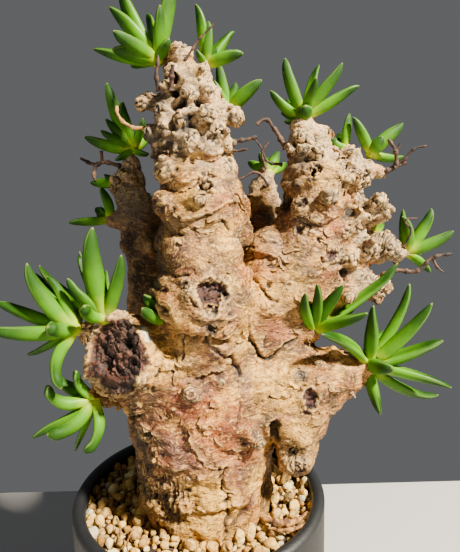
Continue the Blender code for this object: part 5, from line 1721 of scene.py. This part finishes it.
leaf_paint = leaf_finish()
leaf_chance = random.Random(21)
leaf_faces = 0
for name, (base, leaves) in ROSETTES.items():
    rosette = build_rosette(name, base, leaves, leaf_chance)
    rosette.data.materials.append(leaf_paint)
    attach(rosette, "root")
    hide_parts("rosette_" + name)
    leaf_faces += len(rosette.data.polygons)
print("leaves:", leaf_faces, "faces")


# %% [markdown]
# ## Gravel: one rule for a thousand grains
# The pot is topped with soft volcanic grit: nuggets of 3 to 7 mm with rounded corners, most of
# them cream and ochre, some nearly white and a few brown. A few grain shapes are made once.
# Geometry Nodes then strews them over the top of the soil in three passes, the big ones
# last, turns and sizes each one at random and gives each a number for its colour.

# %% A handful of grain shapes
GRAIN_SHAPES = 9
GRAIN_CUTS = 11


def shape_store(name):
    """A collection that holds the shapes to strew."""
    made = bpy.data.collections.new(name)
    scene_collection.children.link(made)
    return made


def empty_store(shapes):
    """Remove the shapes once they are strewn."""
    for obj in list(shapes.objects):
        bpy.data.objects.remove(obj, do_unlink=True)
    bpy.data.collections.remove(shapes)


def grain_shape(index, into):
    """A nugget about 1 mm across: a ball of 80 faces, dented, flattened and uneven."""
    chance = random.Random(100 + index)
    bm = bmesh.new()
    bmesh.ops.create_icosphere(bm, subdivisions=2, radius=0.5 * MM)
    cuts = []
    for _ in range(GRAIN_CUTS):
        way = Vector((chance.gauss(0, 1), chance.gauss(0, 1), chance.gauss(0, 1))).normalized()
        cuts.append((way, chance.uniform(0.26, 0.42) * MM))
    stretch = Vector((1.0, chance.uniform(0.7, 0.95), chance.uniform(0.55, 0.85)))
    for vert in bm.verts:
        for way, far in cuts:
            over = vert.co.dot(way) - far
            if over > 0:
                vert.co -= way * over
        vert.co *= 1 + chance.uniform(-0.05, 0.05)
        vert.co = Vector(a * b for a, b in zip(vert.co, stretch))
    mesh = bpy.data.meshes.new(f"grain_{index}")
    bm.to_mesh(mesh)
    bm.free()
    smooth_shading(mesh)
    into.objects.link(bpy.data.objects.new(f"grain_{index}", mesh))


grains = shape_store("grains")
for index in range(GRAIN_SHAPES):
    grain_shape(index, grains)


# %% A tree that strews shapes over a surface
def strewing():
    """Scatter a collection on a mesh with spacing, sizes, lift, turn and a seed, one number each."""
    tree, start, end = named_tree(
        "strewing",
        {"Spacing": 0.004, "Smallest": 3.0, "Largest": 5.0, "Lift": 0.0, "Tumble": 3.14, "Seed": 1},
        {"Shapes": "NodeSocketCollection", "Finish": "NodeSocketMaterial"},
    )
    seed = start.outputs["Seed"]

    def chance(kind, low, high, seed=seed, first=2):
        values = {"Seed": seed, first: low, first + 1: high}
        return add(tree, "FunctionNodeRandomValue", values, data_type=kind)

    amount = add(tree, "GeometryNodeInputNamedAttribute", {"Name": "amount"}, data_type="FLOAT")
    spots = add(tree, "GeometryNodeDistributePointsOnFaces",
                {"Mesh": start.outputs["Mesh"], "Distance Min": start.outputs["Spacing"], "Density Max": 4e6,
                 "Density Factor": amount.outputs["Attribute"], "Seed": seed}, distribute_method="POISSON")
    offset = vector_of(tree, "SCALE", spots.outputs["Normal"], start.outputs["Lift"])
    lifted = add(tree, "GeometryNodeSetPosition", {"Geometry": spots.outputs["Points"], "Offset": offset})
    spin = chance("FLOAT_VECTOR", (-1, -1, -3.14), (1, 1, 3.14), first=0).outputs[0]
    most = start.outputs["Tumble"]
    tumble = add(tree, "ShaderNodeCombineXYZ", {0: most, 1: most, 2: 1.0})
    turn = vector_of(tree, "MULTIPLY", spin, tumble.outputs[0])
    turn = add(tree, "FunctionNodeEulerToRotation", {0: turn}).outputs[0]
    turns = {0: spots.outputs["Rotation"], 1: turn}
    own = add(tree, "FunctionNodeRotateRotation", turns, rotation_space="LOCAL")
    size = chance("FLOAT", start.outputs["Smallest"], start.outputs["Largest"]).outputs[1]
    shapes = add(tree, "GeometryNodeCollectionInfo", {"Collection": start.outputs["Shapes"],
                                                      "Separate Children": True, "Reset Children": True})
    placed = add(tree, "GeometryNodeInstanceOnPoints",
                 {"Points": lifted.outputs[0], "Instance": shapes.outputs[0], "Pick Instance": True,
                  "Rotation": own.outputs[0], "Scale": size})
    shade = chance("FLOAT", 0.0, 1.0, seed=7).outputs[1]
    noted = add(tree, "GeometryNodeStoreNamedAttribute",
                {"Geometry": placed.outputs[0], "Name": "shade", "Value": shade},
                data_type="FLOAT", domain="INSTANCE")
    close_tree(tree, start, end, noted.outputs[0])
    return tree


STREWING = strewing()


def strew(name, ground, shapes, finish, spacing, smallest, largest, seed, **more):
    """Strew shapes over a copy of the ground and keep the result as a plain mesh."""
    made = new_piece(name, ground.copy())
    use_tree(made, STREWING, Shapes=shapes, Finish=finish, Spacing=spacing, Smallest=smallest,
             Largest=largest, Seed=seed, **more)
    bake_modifiers(made)
    return made


print("strewing tree:", len(STREWING.nodes), "nodes")


# %% [markdown]
# ## The gravel's finish
# One material serves all grains: each grain's own number picks its family through a colour
# ramp, and noise inside the grain adds the pores and the paler dusty faces. Porous grit has
# no gloss at all, so it stays rough.

# %% Grain colours by family
# Where each family starts on the grains' own number, and its display colour
FAMILIES = [(0.0, (184, 144, 80)), (0.2, (204, 168, 98)), (0.42, (220, 192, 126)), (0.6, (194, 152, 86)),
            (0.72, (222, 208, 168)), (0.84, (168, 126, 72)), (0.92, (196, 190, 176)), (0.97, (136, 102, 66))]


def gravel_finish():
    """Cream, ochre, white and brown grains with pores and dust."""
    made, tree, shader = new_finish("gravel_finish", 0.9, 0.25)
    family = add(tree, "ShaderNodeValToRGB", {0: read_mask(tree, "shade")})
    family.color_ramp.interpolation = "CONSTANT"
    stops = family.color_ramp.elements
    for index, (place, colour) in enumerate(FAMILIES):
        stop = stops[index] if index < 2 else stops.new(place)
        stop.position = place
        stop.color = rgb(*colour)
    blotch = use_group(tree, BLOTCHES, Size=0.0028, Fine_Size=0.0008).outputs
    colour = lay_coats(tree, family.outputs[0], [
        (blotch["Broad"], 0.5, (234, 220, 172), 0.4, 0.66),
        (blotch["Fine"], 0.55, (112, 76, 42), 0.6, 0.68),
    ])
    close_finish(tree, shader, colour, 0.0011, 0.9, 0.0006, 0.8)
    return made


gravel_paint = gravel_finish()
print(len(FAMILIES), "families of grains")

# %% Strew three passes of grains
SOIL_DROP = 2.2
SOIL_EVENED = 0.35
# Passes: spacing, smallest, largest, lift and seed
PASSES = {
    "gravel_low": (0.0029, 2.6, 4.8, 0.0, 3),
    "gravel_middle": (0.0042, 3.2, 6.4, 0.0022, 4),
    "gravel_top": (0.0074, 5.0, 8.4, 0.0038, 5),
}


def soil_top():
    """The solid gravel's upper face, lowered a little, as the ground for the grains."""
    ground = solid_copy("substrate", "soil")
    top = ground.data.copy()
    top.name = "soil_top"
    with editing(top) as bm:
        bmesh.ops.delete(bm, geom=[face for face in bm.faces if face.normal.z < 0.25], context="FACES")
        loose = [vert for vert in bm.verts if not vert.link_faces or vert.co.z < 0.085]
        bmesh.ops.delete(bm, geom=loose, context="VERTS")
    places, _ = points_of(top)
    level = float(np.median(places[:, 2]))
    places[:, 2] = level + (places[:, 2] - level) * SOIL_EVENED - SOIL_DROP
    set_points(top, places)
    store(top, "amount", np.ones(len(places)))
    return ground, top, level


soil, soil_face, GRAVEL_LEVEL = soil_top()
for name, (spacing, smallest, largest, lift, seed) in PASSES.items():
    layer = strew(name, soil_face, grains, gravel_paint, spacing, smallest, largest, seed, Lift=lift)
    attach(layer, "root")
    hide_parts("substrate")
    print(name, len(layer.data.polygons), "faces")
empty_store(grains)


# %% [markdown]
# ## Soil between the grains
# Below the loose grains lies the same grit, crushed and in shade. A second layer of grains
# could fill the gaps, but all that shows there is a dark uneven floor, so the solid's own
# top is lowered and evened out to be that floor, painted dark brown as shade.


# %% The dark soil under the grains
def soil_finish():
    """Grit between the grains, painted a dusty dark brown as their shade."""
    made, tree, shader = new_finish("soil_finish", 0.95)
    fine = use_group(tree, BLOTCHES, Size=0.006, Fine_Size=0.0015).outputs["Fine"]
    # painted shade: the grit under the grains is darkened
    colour = lay_coats(tree, rgb(58, 40, 26), [(fine, 1, (126, 92, 56), 0.4, 0.62)])
    close_finish(tree, shader, colour, 0.002, 0.8, 0.001, 0.8)
    return made


soil_places, _ = points_of(soil.data)
high = soil_places[:, 2] > GRAVEL_LEVEL - 3
soil_places[high, 2] = GRAVEL_LEVEL - SOIL_DROP + SOIL_EVENED * (soil_places[high, 2] - GRAVEL_LEVEL)
set_points(soil.data, soil_places)
soil.data.materials.append(soil_finish())
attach(soil, "root")
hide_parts("substrate")
print("soil level", round(GRAVEL_LEVEL - SOIL_DROP, 1), "mm")


# %% [markdown]
# ## Knobs where leaves and twigs were shed
# Near the growing tips the bark is crowded with small buttons: each is the foot of a lost
# leaf or twig, ringed like an onion, with a dimple where the sap once ran. A few are longer
# stubs. They follow the same rule as the gravel, so the same tree strews them, on a copy of
# the bark whose amount is high only in the knobby zones, standing up from the skin instead
# of tumbling.

# %% Button and stub shapes
KNOB_SIDES = 9
# Outlines from foot to dimple: radius and height, for two buttons and two stubs
KNOB_PROFILES = [
    [(1.15, -0.5), (1.0, 0.1), (0.8, 0.42), (0.66, 0.44), (0.6, 0.62), (0.34, 0.66), (0.16, 0.56)],
    [(1.2, -0.5), (1.05, 0.05), (0.86, 0.3), (0.9, 0.42), (0.6, 0.6), (0.42, 0.6), (0.2, 0.5)],
    [(1.1, -0.6), (0.8, 0.3), (0.74, 0.9), (0.8, 1.05), (0.66, 1.3), (0.4, 1.4), (0.15, 1.3)],
    [(1.1, -0.6), (0.7, 0.4), (0.5, 0.9), (0.56, 1.1), (0.34, 1.6), (0.3, 1.9), (0.1, 1.95)],
]
KNOB_MIX = (0, 1, 0, 1, 2, 1, 0, 3)


def knob_shape(index, into):
    """A lathed button about 1 mm in radius, made uneven, with its level kept for the finish."""
    chance = random.Random(300 + index)
    profile = KNOB_PROFILES[KNOB_MIX[index]]
    lean_x, lean_y = chance.uniform(-0.25, 0.25), chance.uniform(-0.25, 0.25)
    squeeze = chance.uniform(0.7, 1.0)
    points, faces, levels = [], [], []
    for row, (radius, high) in enumerate(profile):
        for k in range(KNOB_SIDES):
            turn = math.tau * k / KNOB_SIDES
            wide = radius * (1 + chance.uniform(-0.1, 0.1))
            up = high + chance.uniform(-0.07, 0.07)
            x = wide * math.cos(turn) + lean_x * high
            y = wide * math.sin(turn) * squeeze + lean_y * high
            points.append(Vector((x, y, up)) * MM)
            levels.append(row / (len(profile) - 1))
    for row in range(len(profile) - 1):
        for k in range(KNOB_SIDES):
            after = (k + 1) % KNOB_SIDES
            a, b = row * KNOB_SIDES, (row + 1) * KNOB_SIDES
            faces.append((a + k, a + after, b + after, b + k))
    faces.append(tuple(reversed(range(KNOB_SIDES))))
    faces.append(tuple(range((len(profile) - 1) * KNOB_SIDES, len(profile) * KNOB_SIDES)))
    mesh = bpy.data.meshes.new(f"knob_{index}")
    mesh.from_pydata(points, [], faces)
    mesh.update()
    store(mesh, "level", levels)
    smooth_shading(mesh)
    into.objects.link(bpy.data.objects.new(f"knob_{index}", mesh))


knobs = shape_store("knobs")
for index in range(len(KNOB_MIX)):
    knob_shape(index, knobs)


# %% The knobs' finish
def knob_finish():
    """Cork-pale buttons with dark grooves and dimples."""
    made, tree, shader = new_finish("knob_finish", 0.8)
    level, shade = read_mask(tree, "level"), read_mask(tree, "shade")
    broad = use_group(tree, BLOTCHES, Size=0.004, Fine_Size=0.0008).outputs["Broad"]
    rings = math_of(tree, "SINE", math_of(tree, "MULTIPLY", level, 19.0))
    dimple = math_of(tree, "MULTIPLY", band(tree, level, 0.84, 1.0), band(tree, shade, 0.1, 0.5))
    colour = lay_coats(tree, rgb(150, 122, 92), [
        (shade, 1, (214, 194, 160)),
        (broad, 1, (190, 158, 116), 0.45, 0.6),
        (rings, 0.7, (84, 62, 46), -0.3, -0.9),
        (level, 0.6, (84, 62, 46), 0.3, 0.0),
        (dimple, 0.85, (62, 40, 28)),
    ])
    close_finish(tree, shader, colour, 0.0007, 0.6, 0.0004, 0.7)
    return made


knob_paint = knob_finish()
print("knob finish:", len(knob_paint.node_tree.nodes), "nodes")

# %% Strew the knobs over the knobby zones
# Crowds: spacing, smallest, largest and seed
CROWDS = {"knobs_small": (0.0036, 0.6, 1.3, 3), "knobs_large": (0.0066, 1.3, 2.5, 8)}
STRAY_KNOBS = 0.003

knob_ground = bark_skin.data.copy()
places, _ = points_of(knob_ground)
crowd = wart_zone(places) * ramp(read(knob_ground, "rise"), 0.1, 1.0) * 0.7 + STRAY_KNOBS
marked = read(knob_ground, "wound") + read(knob_ground, "crater") + read(knob_ground, "ringed")
crowd *= 1 - np.clip(marked, 0, 1)
store(knob_ground, "amount", crowd * (places[:, 2] > 100))
for name, (spacing, smallest, largest, seed) in CROWDS.items():
    layer = strew(name, knob_ground, knobs, knob_paint, spacing, smallest, largest, seed, Tumble=0.16)
    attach(layer, "root")
    print(name, len(layer.data.polygons), "faces")
bpy.data.meshes.remove(knob_ground)
empty_store(knobs)


# %% [markdown]
# ## The pot: a turned shape
# The pot is a plain straight round one with a broad soft lip. A turned piece is one outline
# spun about the axis, which is what the Screw modifier does with a strip of edges. The
# outline runs up the inside, over the lip and down the outer wall. Holes in a floor can't be
# turned, so the four drain holes are drilled afterwards with a Boolean, where the solid has
# them.

# %% Outline of the pot and its turned shell
POT_LOW, POT_HIGH = (Vector(corner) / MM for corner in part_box("pot"))
POT_RADIUS = (POT_HIGH.x - POT_LOW.x) / 2
POT_HEIGHT = POT_HIGH.z
POT_WALL = 6.0
POT_FLOOR = 5.0
POT_TURNS = 128
LIP_STEPS = 14
AXIS_GAP = 0.01


def pot_outline():
    """Points (radius, height) up the inside, over the lip, down the wall and under the foot."""
    inner = POT_RADIUS - POT_WALL
    lip = POT_WALL / 2
    outline = [(AXIS_GAP, POT_FLOOR), (inner - 3, POT_FLOOR)]
    outline += [(inner - 0.8, POT_FLOOR + 0.8), (inner, POT_FLOOR + 3)]
    outline += [(inner, z) for z in (30, 60, 85, 93)]
    for k in range(LIP_STEPS + 1):
        angle = math.pi * (1 - k / LIP_STEPS)
        outline.append((inner + lip + lip * math.cos(angle), POT_HEIGHT - lip + lip * math.sin(angle)))
    outline += [(POT_RADIUS - 0.1, z) for z in (90, 70, 50, 30, 12)]
    outline += [(POT_RADIUS - 0.5, 3), (POT_RADIUS - 1.2, 1.1), (POT_RADIUS - 3, 0.2), (POT_RADIUS - 6, 0)]
    return outline + [(POT_RADIUS - 12, 0), (AXIS_GAP, 0)]


def build_pot():
    """The outline turned into one closed shell."""
    outline = pot_outline()
    mesh = bpy.data.meshes.new("pot_shell")
    strip = [(k, k + 1) for k in range(len(outline) - 1)]
    mesh.from_pydata([(r * MM, 0, z * MM) for r, z in outline], strip, [])
    pot = new_piece("pot_shell", mesh)
    turn = pot.modifiers.new("Turn", "SCREW")
    turn.steps = turn.render_steps = POT_TURNS
    turn.use_merge_vertices = True
    turn.merge_threshold = 0.00001
    bake_modifiers(pot)
    with editing(pot.data) as bm:
        rims = [edge for edge in bm.edges if edge.is_boundary]
        bmesh.ops.holes_fill(bm, edges=rims, sides=0)
        bmesh.ops.recalc_face_normals(bm, faces=bm.faces)
    return pot


pot_shell = build_pot()
print("pot radius", round(POT_RADIUS, 1), "height", round(POT_HEIGHT, 1), "mm")

# %% Drill the drain holes
DRAIN_HOLES = 4
DRAIN_RADIUS = 3.5
DRAIN_CIRCLE = 30.0
DRILL_SIDES = 32
SHARP_FROM = math.radians(60)


def drill_drains(pot):
    """Cut the round drain holes through the pot's floor."""
    drill_mesh = bpy.data.meshes.new("drill")
    with editing(drill_mesh) as bm:
        for k in range(DRAIN_HOLES):
            angle = math.tau * (k + 0.5) / DRAIN_HOLES
            spot = Vector((math.cos(angle), math.sin(angle), 0)) * DRAIN_CIRCLE * MM
            bmesh.ops.create_cone(bm, cap_ends=True, segments=DRILL_SIDES, radius1=DRAIN_RADIUS * MM,
                                  radius2=DRAIN_RADIUS * MM, depth=24 * MM, matrix=Matrix.Translation(spot))
    drill = new_piece("drill", drill_mesh)
    cut = pot.modifiers.new("Drains", "BOOLEAN")
    cut.solver = "EXACT"
    cut.object = drill
    bake_modifiers(pot)
    bpy.data.objects.remove(drill, do_unlink=True)
    smooth_shading(pot.data)
    pot.data.set_sharp_from_angle(angle=SHARP_FROM)


drill_drains(pot_shell)
print(DRAIN_HOLES, "drain holes, the pot has", len(pot_shell.data.polygons), "faces")


# %% [markdown]
# ## The pot's finish
# The clay is matt and slate-black. A real one is never one even colour: it is mottled and has
# pale pin specks. Its lip is painted a little lighter, as a sheen from the lamp. That painted sheen follows
# the height on Object coordinates, so it needs no painting by hand.


# %% Matt clay with specks and a painted sheen on the lip
def pot_finish():
    """Matt slate-black clay with pale pin specks, and a painted sheen that lightens the lip a little."""
    made, tree, shader = new_finish("pot_finish", 0.6)
    blotch = use_group(tree, BLOTCHES, Size=0.02, Fine_Size=0.0035).outputs
    speck = use_group(tree, BLOTCHES, Size=0.0011, Fine_Size=0.0006, Shift=2.0).outputs
    place = add(tree, "ShaderNodeSeparateXYZ", {0: add(tree, "ShaderNodeTexCoord").outputs["Object"]})
    colour = lay_coats(tree, rgb(30, 31, 33), [
        (blotch["Broad"], 1, (46, 48, 52)),
        # painted sheen: the lip is lightened
        (place.outputs["Z"], 0.5, (72, 76, 82), (POT_HEIGHT - 4.5) * MM, (POT_HEIGHT - 0.6) * MM),
        (speck["Fine"], 0.35, (120, 122, 124), 0.64, 0.7),
    ])
    rough = math_of(tree, "MULTIPLY", blotch["Fine"], 0.25)
    tree.links.new(math_of(tree, "ADD", rough, 0.42), shader.inputs["Roughness"])
    close_finish(tree, shader, colour, 0.0012, 0.5, 0.0003, 0.4)
    return made


pot_shell.data.materials.append(pot_finish())
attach(pot_shell, "root")
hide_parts("pot")
print("pot finish:", len(pot_shell.data.materials[0].node_tree.nodes), "nodes")


# %% [markdown]
# ## Dry twigs
# After flowering, the stalks dry out and stay on the plant for years as thin crooked twigs
# with swollen joints. Each one is a line with a thickness at every point. Geometry Nodes
# takes the line, bends it slightly with noise, swells it at intervals and sweeps a small
# ring along it, so one tree serves every twig, whatever its route.

# %% Routes of the twigs: points with radii in millimetres
TWIGS = {
    "twig_left": [
        [(-24, 19, 252, 1.2), (-34, 17, 254.5, 0.9), (-41, 16, 256, 0.8), (-44, 16, 255, 0.8),
         (-51, 15, 258, 0.6)],
        [(-41, 16, 256, 0.8), (-41, 15, 261, 0.6)],
        [(-44, 16, 255, 0.8), (-45, 14, 250, 0.8), (-44, 13, 247, 0.6)],
    ],
    "twig_crown": [
        [(-12, -9, 264, 1.3), (-16.5, -11, 267, 0.8), (-21, -12, 267.5, 0.65), (-26.5, -12, 273, 0.55),
         (-26.5, -12, 276, 0.6)],
    ],
    "twig_right_upper": [
        [(84, 5, 248, 1.2), (91.5, 3, 249.5, 0.9), (91.5, 2, 256.5, 0.8), (88, 1, 261.5, 0.6)],
        [(91.5, 2, 256.5, 0.8), (93.5, 1, 259.5, 0.6)],
        [(91.5, 3, 249.5, 0.9), (96.5, 2, 251.5, 0.6)],
    ],
    "twig_right_low": [
        [(84, 3, 199, 1.2), (92, 0, 203.5, 0.9), (102, -2, 203.5, 0.9), (108, -3, 209.5, 0.8),
         (116, -4, 211, 0.6)],
    ],
    "twig_inner": [
        [(44, 6, 259, 1.2), (38.5, 5, 268, 0.8), (35, 4, 271.5, 0.7), (31, 4, 269.5, 0.6)],
    ],
}
THIN_TWIGS = [
    [(42, 6, 252, 0.7), (35, 4, 254, 0.5), (33, 3, 259, 0.4), (30, 2, 263, 0.3)],
    [(36, 4, 243, 0.6), (30, 3, 249, 0.5), (24, 3, 246.5, 0.35), (19, 3, 245, 0.3)],
    [(35, 4, 250, 0.6), (33, 3, 257, 0.5), (36, 3, 262, 0.35)],
    [(97, 3, 214, 0.5), (99, 0, 222, 0.45), (96, -1, 226, 0.35), (101, -1, 227, 0.3)],
    [(15, -6, 260, 0.8), (21, -7, 257.5, 0.5), (26, -8, 258, 0.4)],
    [(2, -12, 293, 0.5), (8, -14, 300, 0.4), (14, -15, 305, 0.3)],
    [(88, 5, 248, 0.8), (95, 2, 252, 0.6), (99, 0, 257, 0.5), (104, -1, 258, 0.35)],
    [(108, -3, 209.5, 0.6), (110, -4, 205, 0.45), (112, -5, 203, 0.35)],
]
STUMPS = [
    [(-9, -14, 281, 0.9), (-9.5, -16, 286, 0.7), (-8.5, -17, 291, 0.6), (-8.5, -17, 293.5, 0.45)],
    [(-4, -15, 281, 1.0), (-3, -18, 287, 0.85), (-2.5, -18.5, 289.5, 0.7)],
    [(14, -10, 262, 1.2), (20, -12, 261, 0.8), (26, -12, 261.5, 0.75), (30, -12, 262.5, 0.7)],
]
LITTER = [
    [(27, -21, 97.5, 0.4), (32, -26, 98.5, 1.3), (38, -28.4, 99, 1.6), (43.5, -26.4, 98.6, 1.2),
     (49, -22, 99.5, 0.3)],
    [(31, -29, 97.2, 0.3), (38, -31.5, 98, 0.8), (46, -29, 98.4, 0.7), (51, -24, 98, 0.2)],
    [(-36, -21, 97.5, 0.35), (-33, -28, 98.6, 0.45), (-31.5, -36, 98, 0.3)],
    [(-27, -29, 98.2, 0.3), (-28, -37, 98.6, 0.4), (-26, -44, 97.6, 0.25)],
    [(8, 42, 98, 0.3), (14, 46, 99, 0.5), (22, 45, 98.4, 0.3)],
]
print(len(TWIGS), "twigs,", len(THIN_TWIGS), "thin ones,", len(STUMPS), "stumps,", len(LITTER), "fallen")

# %% Sweep a ring along a line
TWIG_SIDES = 8
TWIG_SIZES = {"Crooked": 0.0007, "Joint Every": 0.005, "Swell": 0.25, "Step": 0.0007}


def twig_tree():
    """Sweep a ring along a line, with joints that swell and a slight crookedness."""
    tree, start, end = named_tree("twig_sweep", TWIG_SIZES, {"Finish": "NodeSocketMaterial"})
    steps = {"Curve": start.outputs["Mesh"], "Length": start.outputs["Step"]}
    fine = add(tree, "GeometryNodeResampleCurve", steps, mode="LENGTH")
    place = add(tree, "GeometryNodeInputPosition").outputs[0]
    cloud = add(tree, "ShaderNodeTexNoise", {"Vector": place, "Scale": 260.0, "Detail": 2.0}).outputs["Color"]
    middle = vector_of(tree, "SUBTRACT", cloud, (0.5, 0.5, 0.5))
    shift = vector_of(tree, "SCALE", middle, start.outputs["Crooked"])
    bent = add(tree, "GeometryNodeSetPosition", {"Geometry": fine.outputs[0], "Offset": shift})
    far = add(tree, "GeometryNodeSplineParameter").outputs["Length"]
    beat = math_of(tree, "MULTIPLY", math_of(tree, "DIVIDE", far, start.outputs["Joint Every"]), math.tau)
    joint = math_of(tree, "POWER", math_of(tree, "MULTIPLY_ADD", math_of(tree, "COSINE", beat), 0.5), 5.0)
    joint = math_of(tree, "MULTIPLY", joint, start.outputs["Swell"])
    radius = add(tree, "GeometryNodeInputRadius").outputs[0]
    grown = math_of(tree, "MULTIPLY", radius, math_of(tree, "ADD", joint, 1.0))
    sized = add(tree, "GeometryNodeSetCurveRadius", {"Curve": bent.outputs[0], "Radius": grown})
    ring = add(tree, "GeometryNodeCurvePrimitiveCircle", {"Resolution": TWIG_SIDES, "Radius": 1.0})
    swept = add(tree, "GeometryNodeCurveToMesh", {"Curve": sized.outputs[0], "Profile Curve": ring.outputs[0],
                                                  "Fill Caps": True})
    if "Scale" in swept.inputs:
        tree.links.new(grown, swept.inputs["Scale"])
    close_tree(tree, start, end, swept.outputs[0])
    return tree


TWIG_TREE = twig_tree()
print("twig tree:", len(TWIG_TREE.nodes), "nodes")


# %% From routes to a twig's mesh
def twig_line(name, routes):
    """One curve object with a smooth spline for each route."""
    data = bpy.data.curves.new(name, "CURVE")
    data.dimensions = "3D"
    data.resolution_u = 8
    for route in routes:
        spline = data.splines.new("BEZIER")
        spline.bezier_points.add(len(route) - 1)
        for knot, (x, y, z, radius) in zip(spline.bezier_points, route):
            knot.co = (x * MM, y * MM, z * MM)
            knot.radius = radius * MM
            knot.handle_left_type = knot.handle_right_type = "AUTO"
    return new_piece(name, data)


def sweep_twig(name, routes, finish):
    """Make one twig's plain mesh from its routes."""
    line = twig_line(name + "_line", routes)
    use_tree(line, TWIG_TREE, Finish=finish)
    mesh = evaluated_mesh(line)
    bpy.data.objects.remove(line, do_unlink=True)
    mesh.name = name
    smooth_shading(mesh)
    return new_piece(name, mesh)


def stalk_finish(name, dark, light):
    """Dry stalk: darker and paler patches and a dull, fibrous skin."""
    made, tree, shader = new_finish(name, 0.8)
    broad = use_group(tree, BLOTCHES, Size=0.003, Fine_Size=0.0007).outputs["Broad"]
    colour = lay_coats(tree, rgb(*dark), [(broad, 1, light, 0.38, 0.64)])
    close_finish(tree, shader, colour, 0.0005, 0.6, 0.0003, 0.7)
    return made


brown_stalk = stalk_finish("brown_stalk", (74, 50, 38), (150, 112, 84))
dry_husk = stalk_finish("dry_husk", (132, 90, 52), (208, 164, 100))
pale_stalk = stalk_finish("pale_stalk", (166, 122, 74), (218, 182, 124))
print("three stalk finishes")

# %% Make all twigs, stumps and litter
for name, routes in TWIGS.items():
    twig = sweep_twig("dry_" + name, routes, pale_stalk if name == "twig_crown" else brown_stalk)
    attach(twig, "root")
    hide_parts(name)
for name, routes, paint in (("thin_twigs", THIN_TWIGS, brown_stalk), ("dry_stumps", STUMPS, brown_stalk),
                            ("fallen_stalks", LITTER, dry_husk)):
    loose = sweep_twig(name, routes, paint)
    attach(loose, "root")
    print(name, len(loose.data.polygons), "faces")
